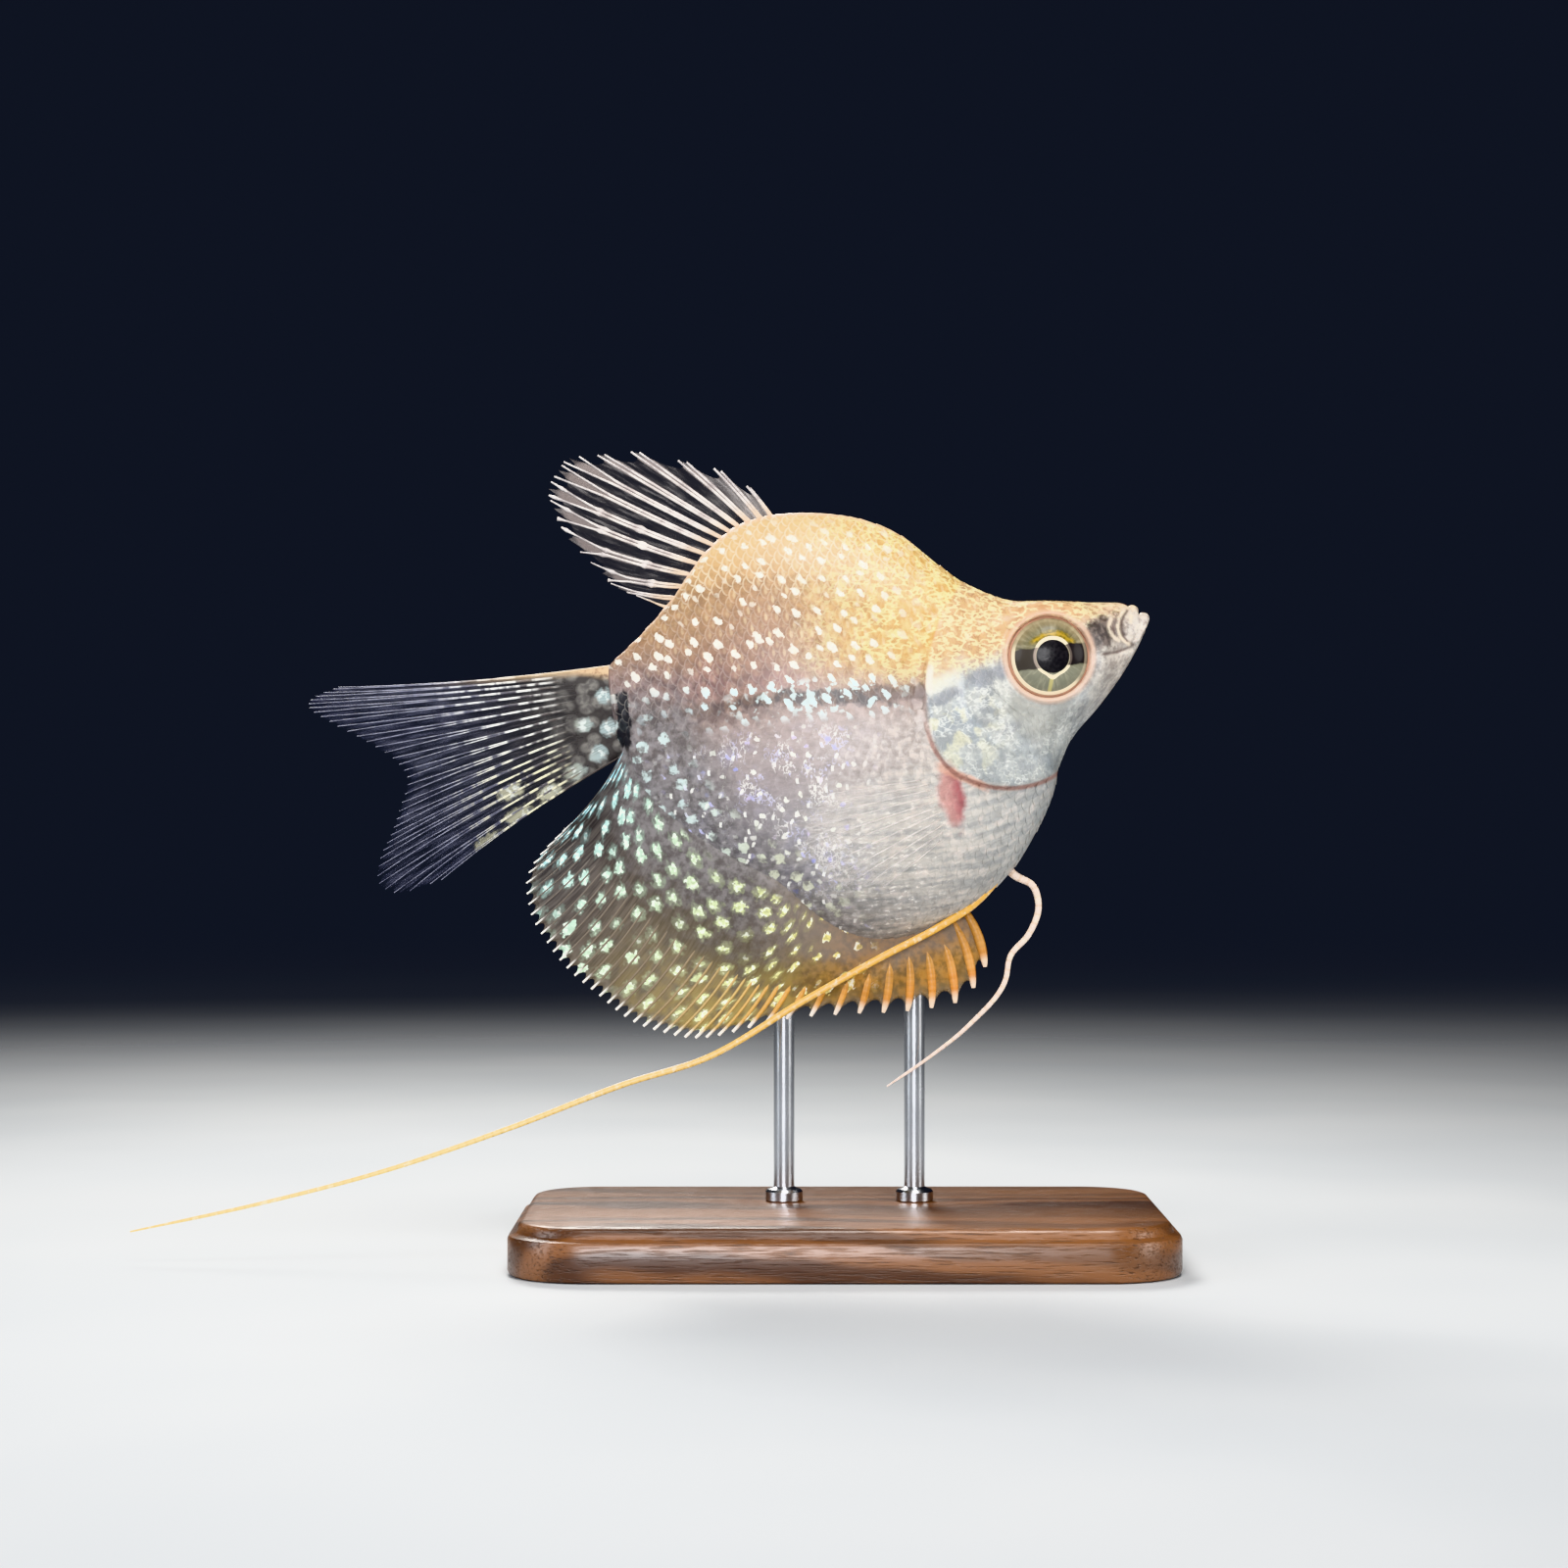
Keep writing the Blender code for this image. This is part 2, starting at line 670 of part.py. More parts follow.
def fin_columns(ray_line, count, reach):
    """The fin's lines from root to edge: each has its points and its half thicknesses.

    ray_line gives a ray's points from its share of the fin and the shares of its length.
    """
    web = [WEB_HALF] * len(RAY_SHARES)
    crest = [RAY_HALF + (RAY_TIP_HALF - RAY_HALF) * t for t in RAY_SHARES]
    shoulder_shares = [t * SHOULDER_REACH for t in RAY_SHARES]
    middle_shares = [t * reach for t in RAY_SHARES]
    step = 1 / (count - 1)
    columns = []
    for i in range(count):
        columns.append((ray_line(i * step, RAY_SHARES), crest))
        if i == count - 1:
            break
        near = ray_line(i * step, shoulder_shares)
        far = ray_line((i + 1) * step, shoulder_shares)
        columns.append((blend(near, far, RAY_SHOULDER), web))
        near = ray_line(i * step, middle_shares)
        far = ray_line((i + 1) * step, middle_shares)
        columns.append((blend(near, far, 0.5), web))
        near = ray_line(i * step, shoulder_shares)
        far = ray_line((i + 1) * step, shoulder_shares)
        columns.append((blend(near, far, 1 - RAY_SHOULDER), web))
    for at, inner in ((0, 1), (len(columns), len(columns) - 2)):
        outer = columns[0] if at == 0 else columns[-1]
        rim = []
        for point, beside in zip(outer[0], columns[inner][0]):
            rim.append(point + (point - beside).normalized() * EDGE_WIDTH)
        rim[-1] = outer[0][-1].lerp(outer[0][-2], 0.1) + (rim[-1] - outer[0][-1]) * 0.5
        columns.insert(at if at == 0 else len(columns), (rim, [0.0] * len(rim)))
    return columns


def fin_mesh(columns, across):
    """A closed sheet through the columns, alike on both faces and sharp at its free edges."""
    shape = bmesh.new()
    fronts = []
    backs = []
    for points, halves in columns:
        front = []
        back = []
        for k, point in enumerate(points):
            if k == len(points) - 1 or halves[k] == 0:
                shared = shape.verts.new(point)
                front.append(shared)
                back.append(shared)
            else:
                front.append(shape.verts.new(point + across * halves[k]))
                back.append(shape.verts.new(point - across * halves[k]))
        fronts.append(front)
        backs.append(back)
    last = len(columns) - 1
    for sheet in (fronts, backs):
        for i in range(last):
            near = sheet[i]
            far = sheet[i + 1]
            if i < last / 2:
                near, far = far, near
            for k in range(len(near) - 1):
                shape.faces.new((near[k], near[k + 1], far[k + 1]))
                shape.faces.new((near[k], far[k + 1], far[k]))
    for i in range(last):
        corners = (fronts[i][0], fronts[i + 1][0], backs[i + 1][0], backs[i][0])
        distinct = list(dict.fromkeys(corners))
        for second, third in zip(distinct[1:], distinct[2:]):
            shape.faces.new((distinct[0], second, third))
    bmesh.ops.recalc_face_normals(shape, faces=shape.faces)
    mesh = bpy.data.meshes.new("fin")
    shape.to_mesh(mesh)
    shape.free()
    return mesh


def tip_of(tips, share):
    table = np.asarray(tips)
    return on_plane(*spline(table[:, 0], table[:, 1:], share))


def make_median_fin(name, count, root_at, tips, bows, reach, finish, swollen):
    """A fin of the middle plane, its root fitted to the body."""

    def ray_line(share, shares):
        bow = bows[0] + (bows[1] - bows[0]) * share
        return ray_points(root_at(share), tip_of(tips, share), bow, shares)

    columns = fin_columns(ray_line, count, reach)
    fin = add_object(name, fin_mesh(columns, Vector((0, 1, 0))), finish)
    apply_boolean(fin, "DIFFERENCE", swollen)
    smooth_shade(fin)


def anal_root(share):
    first, last = ANAL_STATIONS
    back, belly = section(first + (last - first) * share)[:2]
    return belly + (back - belly).normalized() * ROOT_DEPTH


def dorsal_root(share):
    first, last = DORSAL_STATIONS
    back, belly = section(first + (last - first) * share)[:2]
    return back + (belly - back).normalized() * ROOT_DEPTH


def caudal_root(share):
    top, bottom = CAUDAL_ROOTS
    return on_plane(*top).lerp(on_plane(*bottom), share)


def make_pectoral(name, side, swollen):
    """A paired fin that stands off the flank and cups a little."""
    top, bottom = PECTORAL_ROOTS
    across = Vector((math.sin(PECTORAL_SPLAY), side * math.cos(PECTORAL_SPLAY), 0))

    def ray_line(share, shares):
        x = top[0] + (bottom[0] - top[0]) * share
        z = top[1] + (bottom[1] - top[1]) * share
        root = on_plane(x, z, flank(x, z) - PECTORAL_ROOT_DEPTH)
        tip = tip_of(PECTORAL_TIPS, share)
        cup = PECTORAL_CUP * (2 * share - 1) ** 2 * (root.x - tip.x)
        tip.y = root.y + (root.x - tip.x) * math.tan(PECTORAL_SPLAY) - cup
        line = ray_points(root, tip, 0.0, shares)
        for point in line:
            point.y *= side
        return line

    columns = fin_columns(ray_line, PECTORAL_RAYS, PECTORAL_REACH)
    fin = add_object(name, fin_mesh(columns, across), "clear_fin")
    apply_boolean(fin, "DIFFERENCE", swollen)
    smooth_shade(fin)


def route_points(route, step):
    """Points set a step apart along a smooth curve through a route's points."""
    route = np.asarray(route) * MM
    knots = np.concatenate(([0], np.cumsum(np.linalg.norm(np.diff(route, axis=0), axis=1))))
    fine = [spline(knots, route, at) for at in np.linspace(0, knots[-1], ROUTE_SAMPLES)]
    lengths = [0.0]
    for near, far in zip(fine, fine[1:]):
        lengths.append(lengths[-1] + float(np.linalg.norm(far - near)))
    count = round(lengths[-1] / step) + 1
    places = np.linspace(0, lengths[-1], count)
    fine = np.asarray(fine)
    return places, [Vector([np.interp(at, lengths, fine[:, k]) for k in range(3)]) for at in places]


def make_feeler(names, route, cuts, step, swollen):
    """A pelvic fin's single long ray, parted into lengths a gap apart."""
    places, points = route_points(route, step)
    whole = places[-1]
    bounds = [0.0, *cuts, whole]
    for name, start, end in zip(names, bounds, bounds[1:]):
        low = start if start == 0 else start + GAP / 2
        high = end if end == whole else end - GAP / 2
        inner = [at for at in places if low + 0.3 * step < at < high - 0.3 * step]
        at_all = [low, *inner, high]
        line = []
        for at in at_all:
            line.append(Vector([np.interp(at, places, [p[k] for p in points]) for k in range(3)]))
        radii = [float(np.interp(at / whole, (0, 0.5, 1), FEELER_RADII)) for at in at_all]
        feeler = add_object(name, tube(line, radii), "feeler")
        if start == 0:
            apply_boolean(feeler, "DIFFERENCE", swollen)
        smooth_shade(feeler, 60)


def make_stand(swollen):
    bpy.ops.mesh.primitive_cube_add(size=1, location=(0, 0, BASE_SIZE[2] / 2))
    block = bpy.context.object
    block.scale = BASE_SIZE
    mesh = mesh_of(block)
    shape = bmesh.new()
    shape.from_mesh(mesh)
    upright = []
    for edge in shape.edges:
        low, high = sorted(vert.co.z for vert in edge.verts)
        if high - low > BASE_SIZE[2] / 2:
            upright.append(edge)
    bmesh.ops.bevel(shape, geom=upright, offset=BASE_CORNER, segments=6, profile=0.5, affect="EDGES")
    shape.to_mesh(mesh)
    shape.free()
    base = add_object("stand_base", mesh, "walnut")
    rounding = base.modifiers.new("rounded edges", "BEVEL")
    rounding.width = BASE_EDGE
    rounding.segments = 2
    rounding.limit_method = "ANGLE"
    rounding.angle_limit = math.radians(50)
    smooth_shade(base, 35)
    foot = BASE_SIZE[2] + GAP
    for name, x in ROD_X.items():
        bpy.ops.mesh.primitive_cylinder_add(
            vertices=20,
            radius=ROD_RADIUS,
            depth=ROD_TOP - foot,
            location=(x, ROD_Y, (ROD_TOP + foot) / 2),
        )
        rod = add_object(name, mesh_of(bpy.context.object), "steel")
        apply_boolean(rod, "DIFFERENCE", swollen)
        smooth_shade(rod)


for old in list(bpy.data.objects):
    bpy.data.objects.remove(old)
parts = bpy.data.collections.new("pearl_gourami")
cutters = bpy.data.collections.new("cutters")
bpy.context.scene.collection.children.link(parts)
bpy.context.scene.collection.children.link(cutters)

swollen_body = add_object("swollen_body", body_loft(swell=GAP))
before_gill = add_object("before_gill", plate(head_outline(0.0), HEAD_HALF_WIDTH))
before_gap = add_object("before_gap", plate(head_outline(GAP), HEAD_HALF_WIDTH))

fish_head = make_head(before_gill)
make_eye(fish_head, "eye_left", 1)
make_eye(fish_head, "eye_right", -1)
make_trunk_and_stalk(before_gap)
median_fins = (
    ("anal_fin", ANAL_RAYS, anal_root, ANAL_TIPS, ANAL_BOWS, ANAL_REACH, "anal_fin"),
    ("dorsal_fin", DORSAL_RAYS, dorsal_root, DORSAL_TIPS, DORSAL_BOWS, DORSAL_REACH, "clear_fin"),
    ("caudal_fin", CAUDAL_RAYS, caudal_root, CAUDAL_TIPS, CAUDAL_BOWS, CAUDAL_REACH, "clear_fin"),
)
for median_fin in median_fins:
    make_median_fin(*median_fin, swollen_body)
make_pectoral("pectoral_fin_left", 1, swollen_body)
make_pectoral("pectoral_fin_right", -1, swollen_body)
make_feeler(
    ("pelvic_feeler_right_root", "pelvic_feeler_right_middle", "pelvic_feeler_right_tip"),
    RIGHT_FEELER,
    RIGHT_FEELER_CUTS,
    RIGHT_FEELER_STEP,
    swollen_body,
)
make_feeler(
    ("pelvic_feeler_left_root", "pelvic_feeler_left_tip"),
    LEFT_FEELER,
    LEFT_FEELER_CUTS,
    LEFT_FEELER_STEP,
    swollen_body,
)
make_stand(swollen_body)
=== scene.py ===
"""A life-size pearl gourami of the short-bodied form, dressed on its display stand.

The skin, scales, fins, feelers and eyes follow the same named sizes as the solids. Lengths
in this file are millimetres unless a name says otherwise, and meshes are made in metres.
The fish faces +X and its right flank faces -Y. Places of the side view are x and z.
"""

import math

import bmesh
import bpy
import numpy as np
from mathutils import Matrix, Vector


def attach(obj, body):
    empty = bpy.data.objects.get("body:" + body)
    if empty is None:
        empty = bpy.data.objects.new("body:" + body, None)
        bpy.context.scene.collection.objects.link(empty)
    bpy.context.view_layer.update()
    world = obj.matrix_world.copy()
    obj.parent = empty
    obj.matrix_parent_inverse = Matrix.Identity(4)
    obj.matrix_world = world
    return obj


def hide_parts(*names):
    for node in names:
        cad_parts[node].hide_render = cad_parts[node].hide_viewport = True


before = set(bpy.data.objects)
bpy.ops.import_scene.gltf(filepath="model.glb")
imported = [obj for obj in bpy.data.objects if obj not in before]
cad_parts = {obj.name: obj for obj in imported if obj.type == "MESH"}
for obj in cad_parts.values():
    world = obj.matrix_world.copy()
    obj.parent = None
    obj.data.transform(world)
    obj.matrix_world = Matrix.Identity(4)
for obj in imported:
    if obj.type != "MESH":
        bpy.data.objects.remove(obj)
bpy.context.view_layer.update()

MM = 0.001

# The body's stations: back x and z, belly x and z, half width, share of the depth at which
# it is widest, and the powers that sharpen the section above and below that place.
STATIONS = np.array(
    (
        (22.05, 49.8, 23.1, 47.75, 1.2, 0.5, 0.7, 0.5),
        (21.35, 50.2, 22.45, 46.4, 1.75, 0.5, 0.75, 0.65),
        (20.2, 50.25, 21.35, 44.5, 2.55, 0.48, 0.65, 0.95),
        (18.2, 50.25, 19.55, 42.05, 3.3, 0.46, 0.6, 1),
        (15.6, 50.3, 17.7, 39.9, 3.95, 0.45, 0.6, 1),
        (12.8, 50.35, 16.85, 38.2, 4.5, 0.47, 0.65, 1),
        (10.6, 51.1, 16.5, 37.2, 4.85, 0.5, 0.8, 1),
        (8.6, 52.15, 16.2, 35.6, 5.15, 0.52, 0.95, 1),
        (6.4, 53.9, 15.3, 33.45, 5.45, 0.54, 1.1, 1),
        (4.1, 55.6, 13.5, 30.3, 5.75, 0.56, 1.2, 1),
        (1.5, 56.6, 11.25, 27.9, 5.95, 0.58, 1.2, 1),
        (-1.1, 57.05, 7.9, 25.6, 6, 0.58, 1.2, 1.05),
        (-3.75, 57.1, 3.4, 24.3, 5.8, 0.57, 1.2, 1.15),
        (-6.4, 56.75, -1.1, 24.8, 5.3, 0.56, 1.2, 1.25),
        (-8.6, 55.8, -5.6, 26.8, 4.6, 0.55, 1.15, 1.25),
        (-10.9, 53.7, -9.75, 29.3, 3.7, 0.52, 1.1, 1.2),
        (-12.9, 50.8, -12.75, 31.95, 2.9, 0.5, 1, 1.1),
        (-15, 48.3, -14.85, 34.4, 2.2, 0.5, 0.9, 1),
        (-16.5, 46.8, -16.05, 36.7, 1.7, 0.5, 0.9, 0.9),
        (-17.85, 45.5, -16.7, 38.55, 1.1, 0.5, 0.9, 0.9),
    )
)
LAST = len(STATIONS) - 1
NOSE_DOME = np.array((0.35, 0, 0.14))
TAIL_DOME = np.array((-0.55, 0, 0))
DOME_ANGLES = (0.3, 0.6, 0.9, 1.2, 1.4)
SKIN_INSET = 0.08
HALF_RING = 150
# The stations between which the anal and the dorsal fin are rooted.
ANAL_STATIONS = (10.9, 18.2)
DORSAL_STATIONS = (12.45, 15.95)

GILL_EDGE = (
    (10.6, 54.6), (9.2, 52.4), (7.6, 49.6), (6.4, 46.6), (6.05, 43.4), (6.4, 40.2), (7.7, 37.8),
    (9.9, 36.5), (12.4, 36.1), (14.8, 36.5), (16.8, 37.5), (18.6, 38.6),
)
HEAD_CORNERS = ((40, 38), (40, 66), (14, 66))
GILL_FLARE = 0.4
CHEEK_RIDGE = ((9.7, 47.4), (9.1, 44.5), (9.4, 41.6), (10.9, 39.7), (13.2, 38.8), (15.6, 39.3))
LIP_FOLD = ((21.35, 49.5), (20.95, 48.9), (20.85, 48.1), (21.15, 47.3), (21.75, 46.9))
SECOND_FOLD = ((20.75, 49.25), (20.3, 48.75), (20.15, 48.1), (20.45, 47.5), (20.95, 47.2))
LIP_BACK = ((22.15, 49.75), (21.95, 49.2), (21.9, 48.6))
JAW_LINE = ((21.9, 46.8), (20.9, 46.35), (19.6, 46.1))

EYE_CENTRE = (15.5, 45.9)
EYE_RADII = (3.2, 2, 3.2)
EYE_PROUD = 0.9
ORBIT_RADIUS = 3.3
ORBIT_FADE = 5.6

MOUTH_CENTRE = (22.2, 0, 48.3)
MOUTH_REACH = 2.3
MOUTH_NOTCH = (22.6, 49.3)
MOUTH_CORNER = (22.1, 47)
MOUTH_HALF_WIDTH = 1.25
# Each lip's offset from the mouth line, its reach along it and its half thickness in front.
LIPS = ((-0.5, 1.05, 0.5), (0.46, 0.9, 0.48))
LIP_END = 0.16
LIP_POINTS = 45
LIP_SIDES = 20
# How the seam round the lips is eased: how far each time, and how often.
SEAM_EASE = 0.4
SEAM_ROUNDS = 3
NOSTRILS = ((19.65, 48.9), (20.75, 49.2))

# The slate patches that carry the band on over the cheek: x, z, half length, half height, depth
# of colour.
CHEEK_PATCHES = ((7.6, 42.9, 1.3, 0.8, 0.75), (10.6, 44.3, 1.9, 0.95, 0.8), (12.3, 40.4, 1.1, 0.6, 0.4))

# Where the dark band runs. The scales' places are counted from it, down and backwards.
BAND_LINE = np.array(
    ((-17.5, 40.6), (-12, 41.7), (-4.5, 42.8), (6.4, 43.2), (11, 44.4), (15.5, 45.9), (23.5, 48.6))
)
REFERENCE_STATION = 12
PER_STATION = 20
TURNS = 241
RING_TURNS = 721
HALVINGS = 26

SCALE_PITCH = (0.8, 0.7)
HEAD_SCALE_PITCH = (0.56, 0.49)
SCALE_TWIST = 0.09
SCALE_SEED = 7
PATCH = 0.003
UNWRAP_PER_MM = 0.0095
UNWRAP_SHIFT = 1.5
# How near the ridges a row of scales may run, how far a scale may stray from its row, and the
# fewest stations that make a row.
ROW_MARGIN = 0.3
ROW_STRAY = 0.3
ROW_STATIONS = 6


def between(ends, share):
    """A value that goes evenly from the first end to the last."""
    return ends[0] + (ends[1] - ends[0]) * share


def vectors(*parts):
    """Vectors from their three parts. Any of them may be one plain number."""
    return np.stack(np.broadcast_arrays(*parts), axis=-1)


def unit(ways):
    """The same ways, each of length 1."""
    return ways / np.linalg.norm(ways, axis=-1, keepdims=True)


def spline(knots, values, at):
    """Places on a smooth curve through the values."""
    knots, values, at = (np.asarray(given, float) for given in (knots, values, at))
    slopes = np.gradient(values, knots, axis=0)
    i = np.clip(np.searchsorted(knots, at) - 1, 0, len(knots) - 2)
    width = knots[i + 1] - knots[i]
    t = (at - knots[i]) / width
    if values.ndim == 2:
        t = t[..., None]
        width = width[..., None]
    start = (1 + 2 * t) * (1 - t) ** 2 * values[i] + t * (1 - t) ** 2 * width * slopes[i]
    end = t * t * (3 - 2 * t) * values[i + 1] + t * t * (t - 1) * width * slopes[i + 1]
    return start + end


def curve_through(line, count):
    return spline(np.arange(len(line)), line, np.linspace(0, len(line) - 1, count))


def smooth(value, low, high):
    """0 below low, 1 above high, and an even ramp between."""
    share = np.clip((np.asarray(value, float) - low) / (high - low), 0, 1)
    return share * share * (3 - 2 * share)


def bell(distance, middle, width):
    """1 at the middle, and falling away to both sides of it."""
    return np.exp(-(((distance - middle) / width) ** 2))


def lengths_along(points):
    """How far the points of each line lie from its first one."""
    steps = np.linalg.norm(np.diff(points, axis=-2), axis=-1)
    return np.concatenate((np.zeros((*steps.shape[:-1], 1)), np.cumsum(steps, axis=-1)), axis=-1)


def section(u):
    return spline(np.arange(LAST + 1), STATIONS, u)


def body_point(u, turn):
    """Points of the left flank: turn 0 is the back's ridge and pi the belly's."""
    row = section(u)
    lean = np.cos(turn)
    upper = lean >= 0
    widest = row[..., 5]
    share = np.where(upper, widest * (1 - lean), widest - (1 - widest) * lean)
    power = np.where(upper, row[..., 6], row[..., 7])
    x = row[..., 0] + (row[..., 2] - row[..., 0]) * share
    z = row[..., 1] + (row[..., 3] - row[..., 1]) * share
    return vectors(x, row[..., 4] * np.maximum(np.sin(turn), 0) ** power, z)


def place_of(x, z):
    """The station and the turn at places of the side view."""

    def chord(u):
        """Where a section is widest, its way from back to belly, and the place's from its back."""
        row = section(u)
        along = (row[..., 2] - row[..., 0], row[..., 3] - row[..., 1])
        return row[..., 5], *along, x - row[..., 0], z - row[..., 1]

    low = np.zeros_like(x)
    high = np.full_like(x, float(LAST))
    for halving in range(HALVINGS):
        middle = (low + high) / 2
        widest, along_x, along_z, off_x, off_z = chord(middle)
        ahead = along_z * off_x - along_x * off_z > 0
        low = np.where(ahead, middle, low)
        high = np.where(ahead, high, middle)
    u = (low + high) / 2
    widest, along_x, along_z, off_x, off_z = chord(u)
    share = np.clip((off_x * along_x + off_z * along_z) / (along_x**2 + along_z**2), 0, 1)
    above = np.arccos(np.clip(1 - share / widest, -1, 1))
    below = np.arccos(np.clip((widest - share) / (1 - widest), -1, 1))
    return u, np.where(share <= widest, above, below)


def line_distance(x, z, line):
    """How far places of the side view lie from an open line."""
    nearest = np.full(np.shape(x), np.inf)
    line = np.asarray(line, float)
    for first, second in zip(line, line[1:]):
        along = second - first
        share = (x - first[0]) * along[0] + (z - first[1]) * along[1]
        share = np.clip(share / (along @ along), 0, 1)
        gap = np.hypot(x - first[0] - along[0] * share, z - first[1] - along[1] * share)
        nearest = np.minimum(nearest, gap)
    return nearest


def eye_distance(x, z):
    return np.hypot(x - EYE_CENTRE[0], z - EYE_CENTRE[1])


GILL_CURVE = curve_through(GILL_EDGE, 56)


def gill_distance(x, z):
    """Distance from the gill cover's edge, below zero on the head."""
    outline = np.vstack((GILL_CURVE, HEAD_CORNERS))
    inside = np.zeros(np.shape(x), bool)
    for first, second in zip(outline, np.roll(outline, -1, axis=0)):
        if first[1] == second[1]:
            continue
        crosses = (first[1] > z) != (second[1] > z)
        share = (z - first[1]) / (second[1] - first[1])
        inside ^= crosses & (x < first[0] + share * (second[0] - first[0]))
    away = line_distance(x, z, GILL_CURVE)
    return np.where(inside, -away, away)


TABLE_U = np.linspace(0, LAST, PER_STATION * LAST + 1)
TABLE_TURN = np.linspace(0, math.pi, TURNS)


def make_tables():
    """Down from the band and back from the reference station, over the whole left flank."""
    surface = body_point(TABLE_U[:, None], TABLE_TURN[None, :])
    run = lengths_along(surface)
    below = np.interp(surface[..., 0], *BAND_LINE.T) - surface[..., 2]
    start = [np.interp(0, *pair) for pair in zip(below, run)]
    down = run - np.asarray(start)[:, None]
    ring = REFERENCE_STATION * PER_STATION
    back = np.interp(down, down[ring], surface[ring, :, 0]) - surface[..., 0]
    return down, back


DOWN, BACK = make_tables()


def sampled(table, u, turn):
    """A table's values between its rows and columns."""
    i = np.clip(u * PER_STATION, 0, len(TABLE_U) - 1.001)
    j = np.clip(turn / math.pi * (TURNS - 1), 0, TURNS - 1.001)
    row = np.floor(i).astype(int)
    column = np.floor(j).astype(int)
    p = i - row
    q = j - column
    near = table[row, column] * (1 - q) + table[row, column + 1] * q
    far = table[row + 1, column] * (1 - q) + table[row + 1, column + 1] * q
    return near * (1 - p) + far * p


ORBIT_LEVEL = float(body_point(*place_of(*np.array(EYE_CENTRE)[:, None]))[0, 1])


def shaped(x, z, y):
    """The left flank's half widths with the head's forms: orbit, gill cover, folds, nostrils."""
    off_ridge = smooth(y, 0, 2)
    away = eye_distance(x, z)
    level = 1 - smooth(away, ORBIT_RADIUS, ORBIT_FADE)
    y = y + (ORBIT_LEVEL - y) * level * off_ridge
    edge = gill_distance(x, z)
    low = 1 - smooth(z, 46.5, 50.5)
    behind = 1 - smooth(x, 14.5, 17)
    flare = np.where(edge < 0, 1 - smooth(-edge, 0, 2.6), 1 - smooth(edge, 0, 0.24))
    y = y + GILL_FLARE * flare * low * behind * off_ridge
    groove = bell(edge, 0.32, 0.2) * (1 - smooth(x, 16.5, 18.5))
    y = y - 0.13 * groove * low * off_ridge
    ridge = line_distance(x, z, curve_through(CHEEK_RIDGE, 30))
    y = y + (0.09 * bell(ridge, 0, 0.32) - 0.05 * bell(ridge, 0.7, 0.3)) * off_ridge
    fold = line_distance(x, z, curve_through(LIP_FOLD, 24))
    y = y + 0.16 * bell(fold, 0, 0.17) - 0.12 * bell(fold, 0.4, 0.16)
    jaw = line_distance(x, z, curve_through(JAW_LINE, 12))
    y = y - 0.12 * bell(jaw, 0, 0.16) * off_ridge
    for nostril_x, nostril_z in NOSTRILS:
        pit = np.hypot(x - nostril_x, z - nostril_z)
        y = y - 0.4 * (1 - smooth(pit, 0.08, 0.3)) + 0.07 * bell(pit, 0.42, 0.12)
    y = y + 0.14 * bell(away, 3.32, 0.2) - 0.06 * bell(away, 3.8, 0.25)
    return np.where(away < 4.5, y - 1.05 * (1 - smooth(away, 2.8, 3.14)), y)


def mesh_from(name, points, faces, edges=()):
    mesh = bpy.data.meshes.new(name)
    mesh.from_pydata([tuple(p) for p in np.asarray(points) * MM], edges, faces)
    return mesh


def ring_faces(rings, count):
    """Faces between rings of points that follow one another."""
    faces = []
    for i in range(rings - 1):
        for j in range(count):
            k = (j + 1) % count
            faces.append((i * count + j, i * count + k, (i + 1) * count + k, (i + 1) * count + j))
    return faces


def outwards(mesh):
    """Weld a closed mesh and turn its faces outwards."""
    shape = bmesh.new()
    shape.from_mesh(mesh)
    bmesh.ops.remove_doubles(shape, verts=shape.verts, dist=0.0005 * MM)
    bmesh.ops.recalc_face_normals(shape, faces=shape.faces)
    shape.to_mesh(mesh)
    shape.free()
    return mesh


def ball(name, segments, rings, place):
    """A ball of radius 1, stretched and put in its place by a matrix.

    Its faces are sorted, because they are made in another order each run.
    """
    shape = bmesh.new()
    bmesh.ops.create_uvsphere(shape, u_segments=segments, v_segments=rings, radius=1)
    shape.transform(place)
    shape.verts.index_update()
    points = [tuple(v.co) for v in shape.verts]
    faces = sorted(tuple(v.index for v in face.verts) for face in shape.faces)
    shape.free()
    mesh = bpy.data.meshes.new(name)
    mesh.from_pydata(points, [], faces)
    return mesh


def rounded(mesh, sharp):
    """Shade a mesh smooth, but for edges sharper than so many degrees."""
    mesh.shade_smooth()
    mesh.set_sharp_from_angle(angle=math.radians(sharp))
    return mesh


def link(name, content):
    made = bpy.data.objects.new(name, content)
    bpy.context.scene.collection.objects.link(made)
    return made


def add(name, mesh, finish=None):
    if finish:
        mesh.materials.clear()
        mesh.materials.append(finish)
    return link(name, mesh)


def hand_in(piece, slot, *nodes):
    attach(piece, "root")
    if nodes:
        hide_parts(*nodes)


def evaluated(obj):
    """An object's shape with its modifiers, as a plain mesh. The object is removed."""
    bpy.context.view_layer.update()
    graph = bpy.context.evaluated_depsgraph_get()
    mesh = bpy.data.meshes.new_from_object(obj.evaluated_get(graph), depsgraph=graph)
    obj.modifiers.clear()
    bpy.data.objects.remove(obj)
    return mesh


def set_attribute(mesh, name, values):
    """A number or a vector at each point."""
    values = np.ascontiguousarray(values, np.float32)
    kind, field = ("FLOAT", "value") if values.ndim == 1 else ("FLOAT_VECTOR", "vector")
    mesh.attributes.new(name, kind, "POINT").data.foreach_set(field, values.ravel())


def read(items, field):
    """A vector of each item in a mesh's own list."""
    values = np.empty(len(items) * 3, np.float32)
    items.foreach_get(field, values)
    return values.reshape(-1, 3)


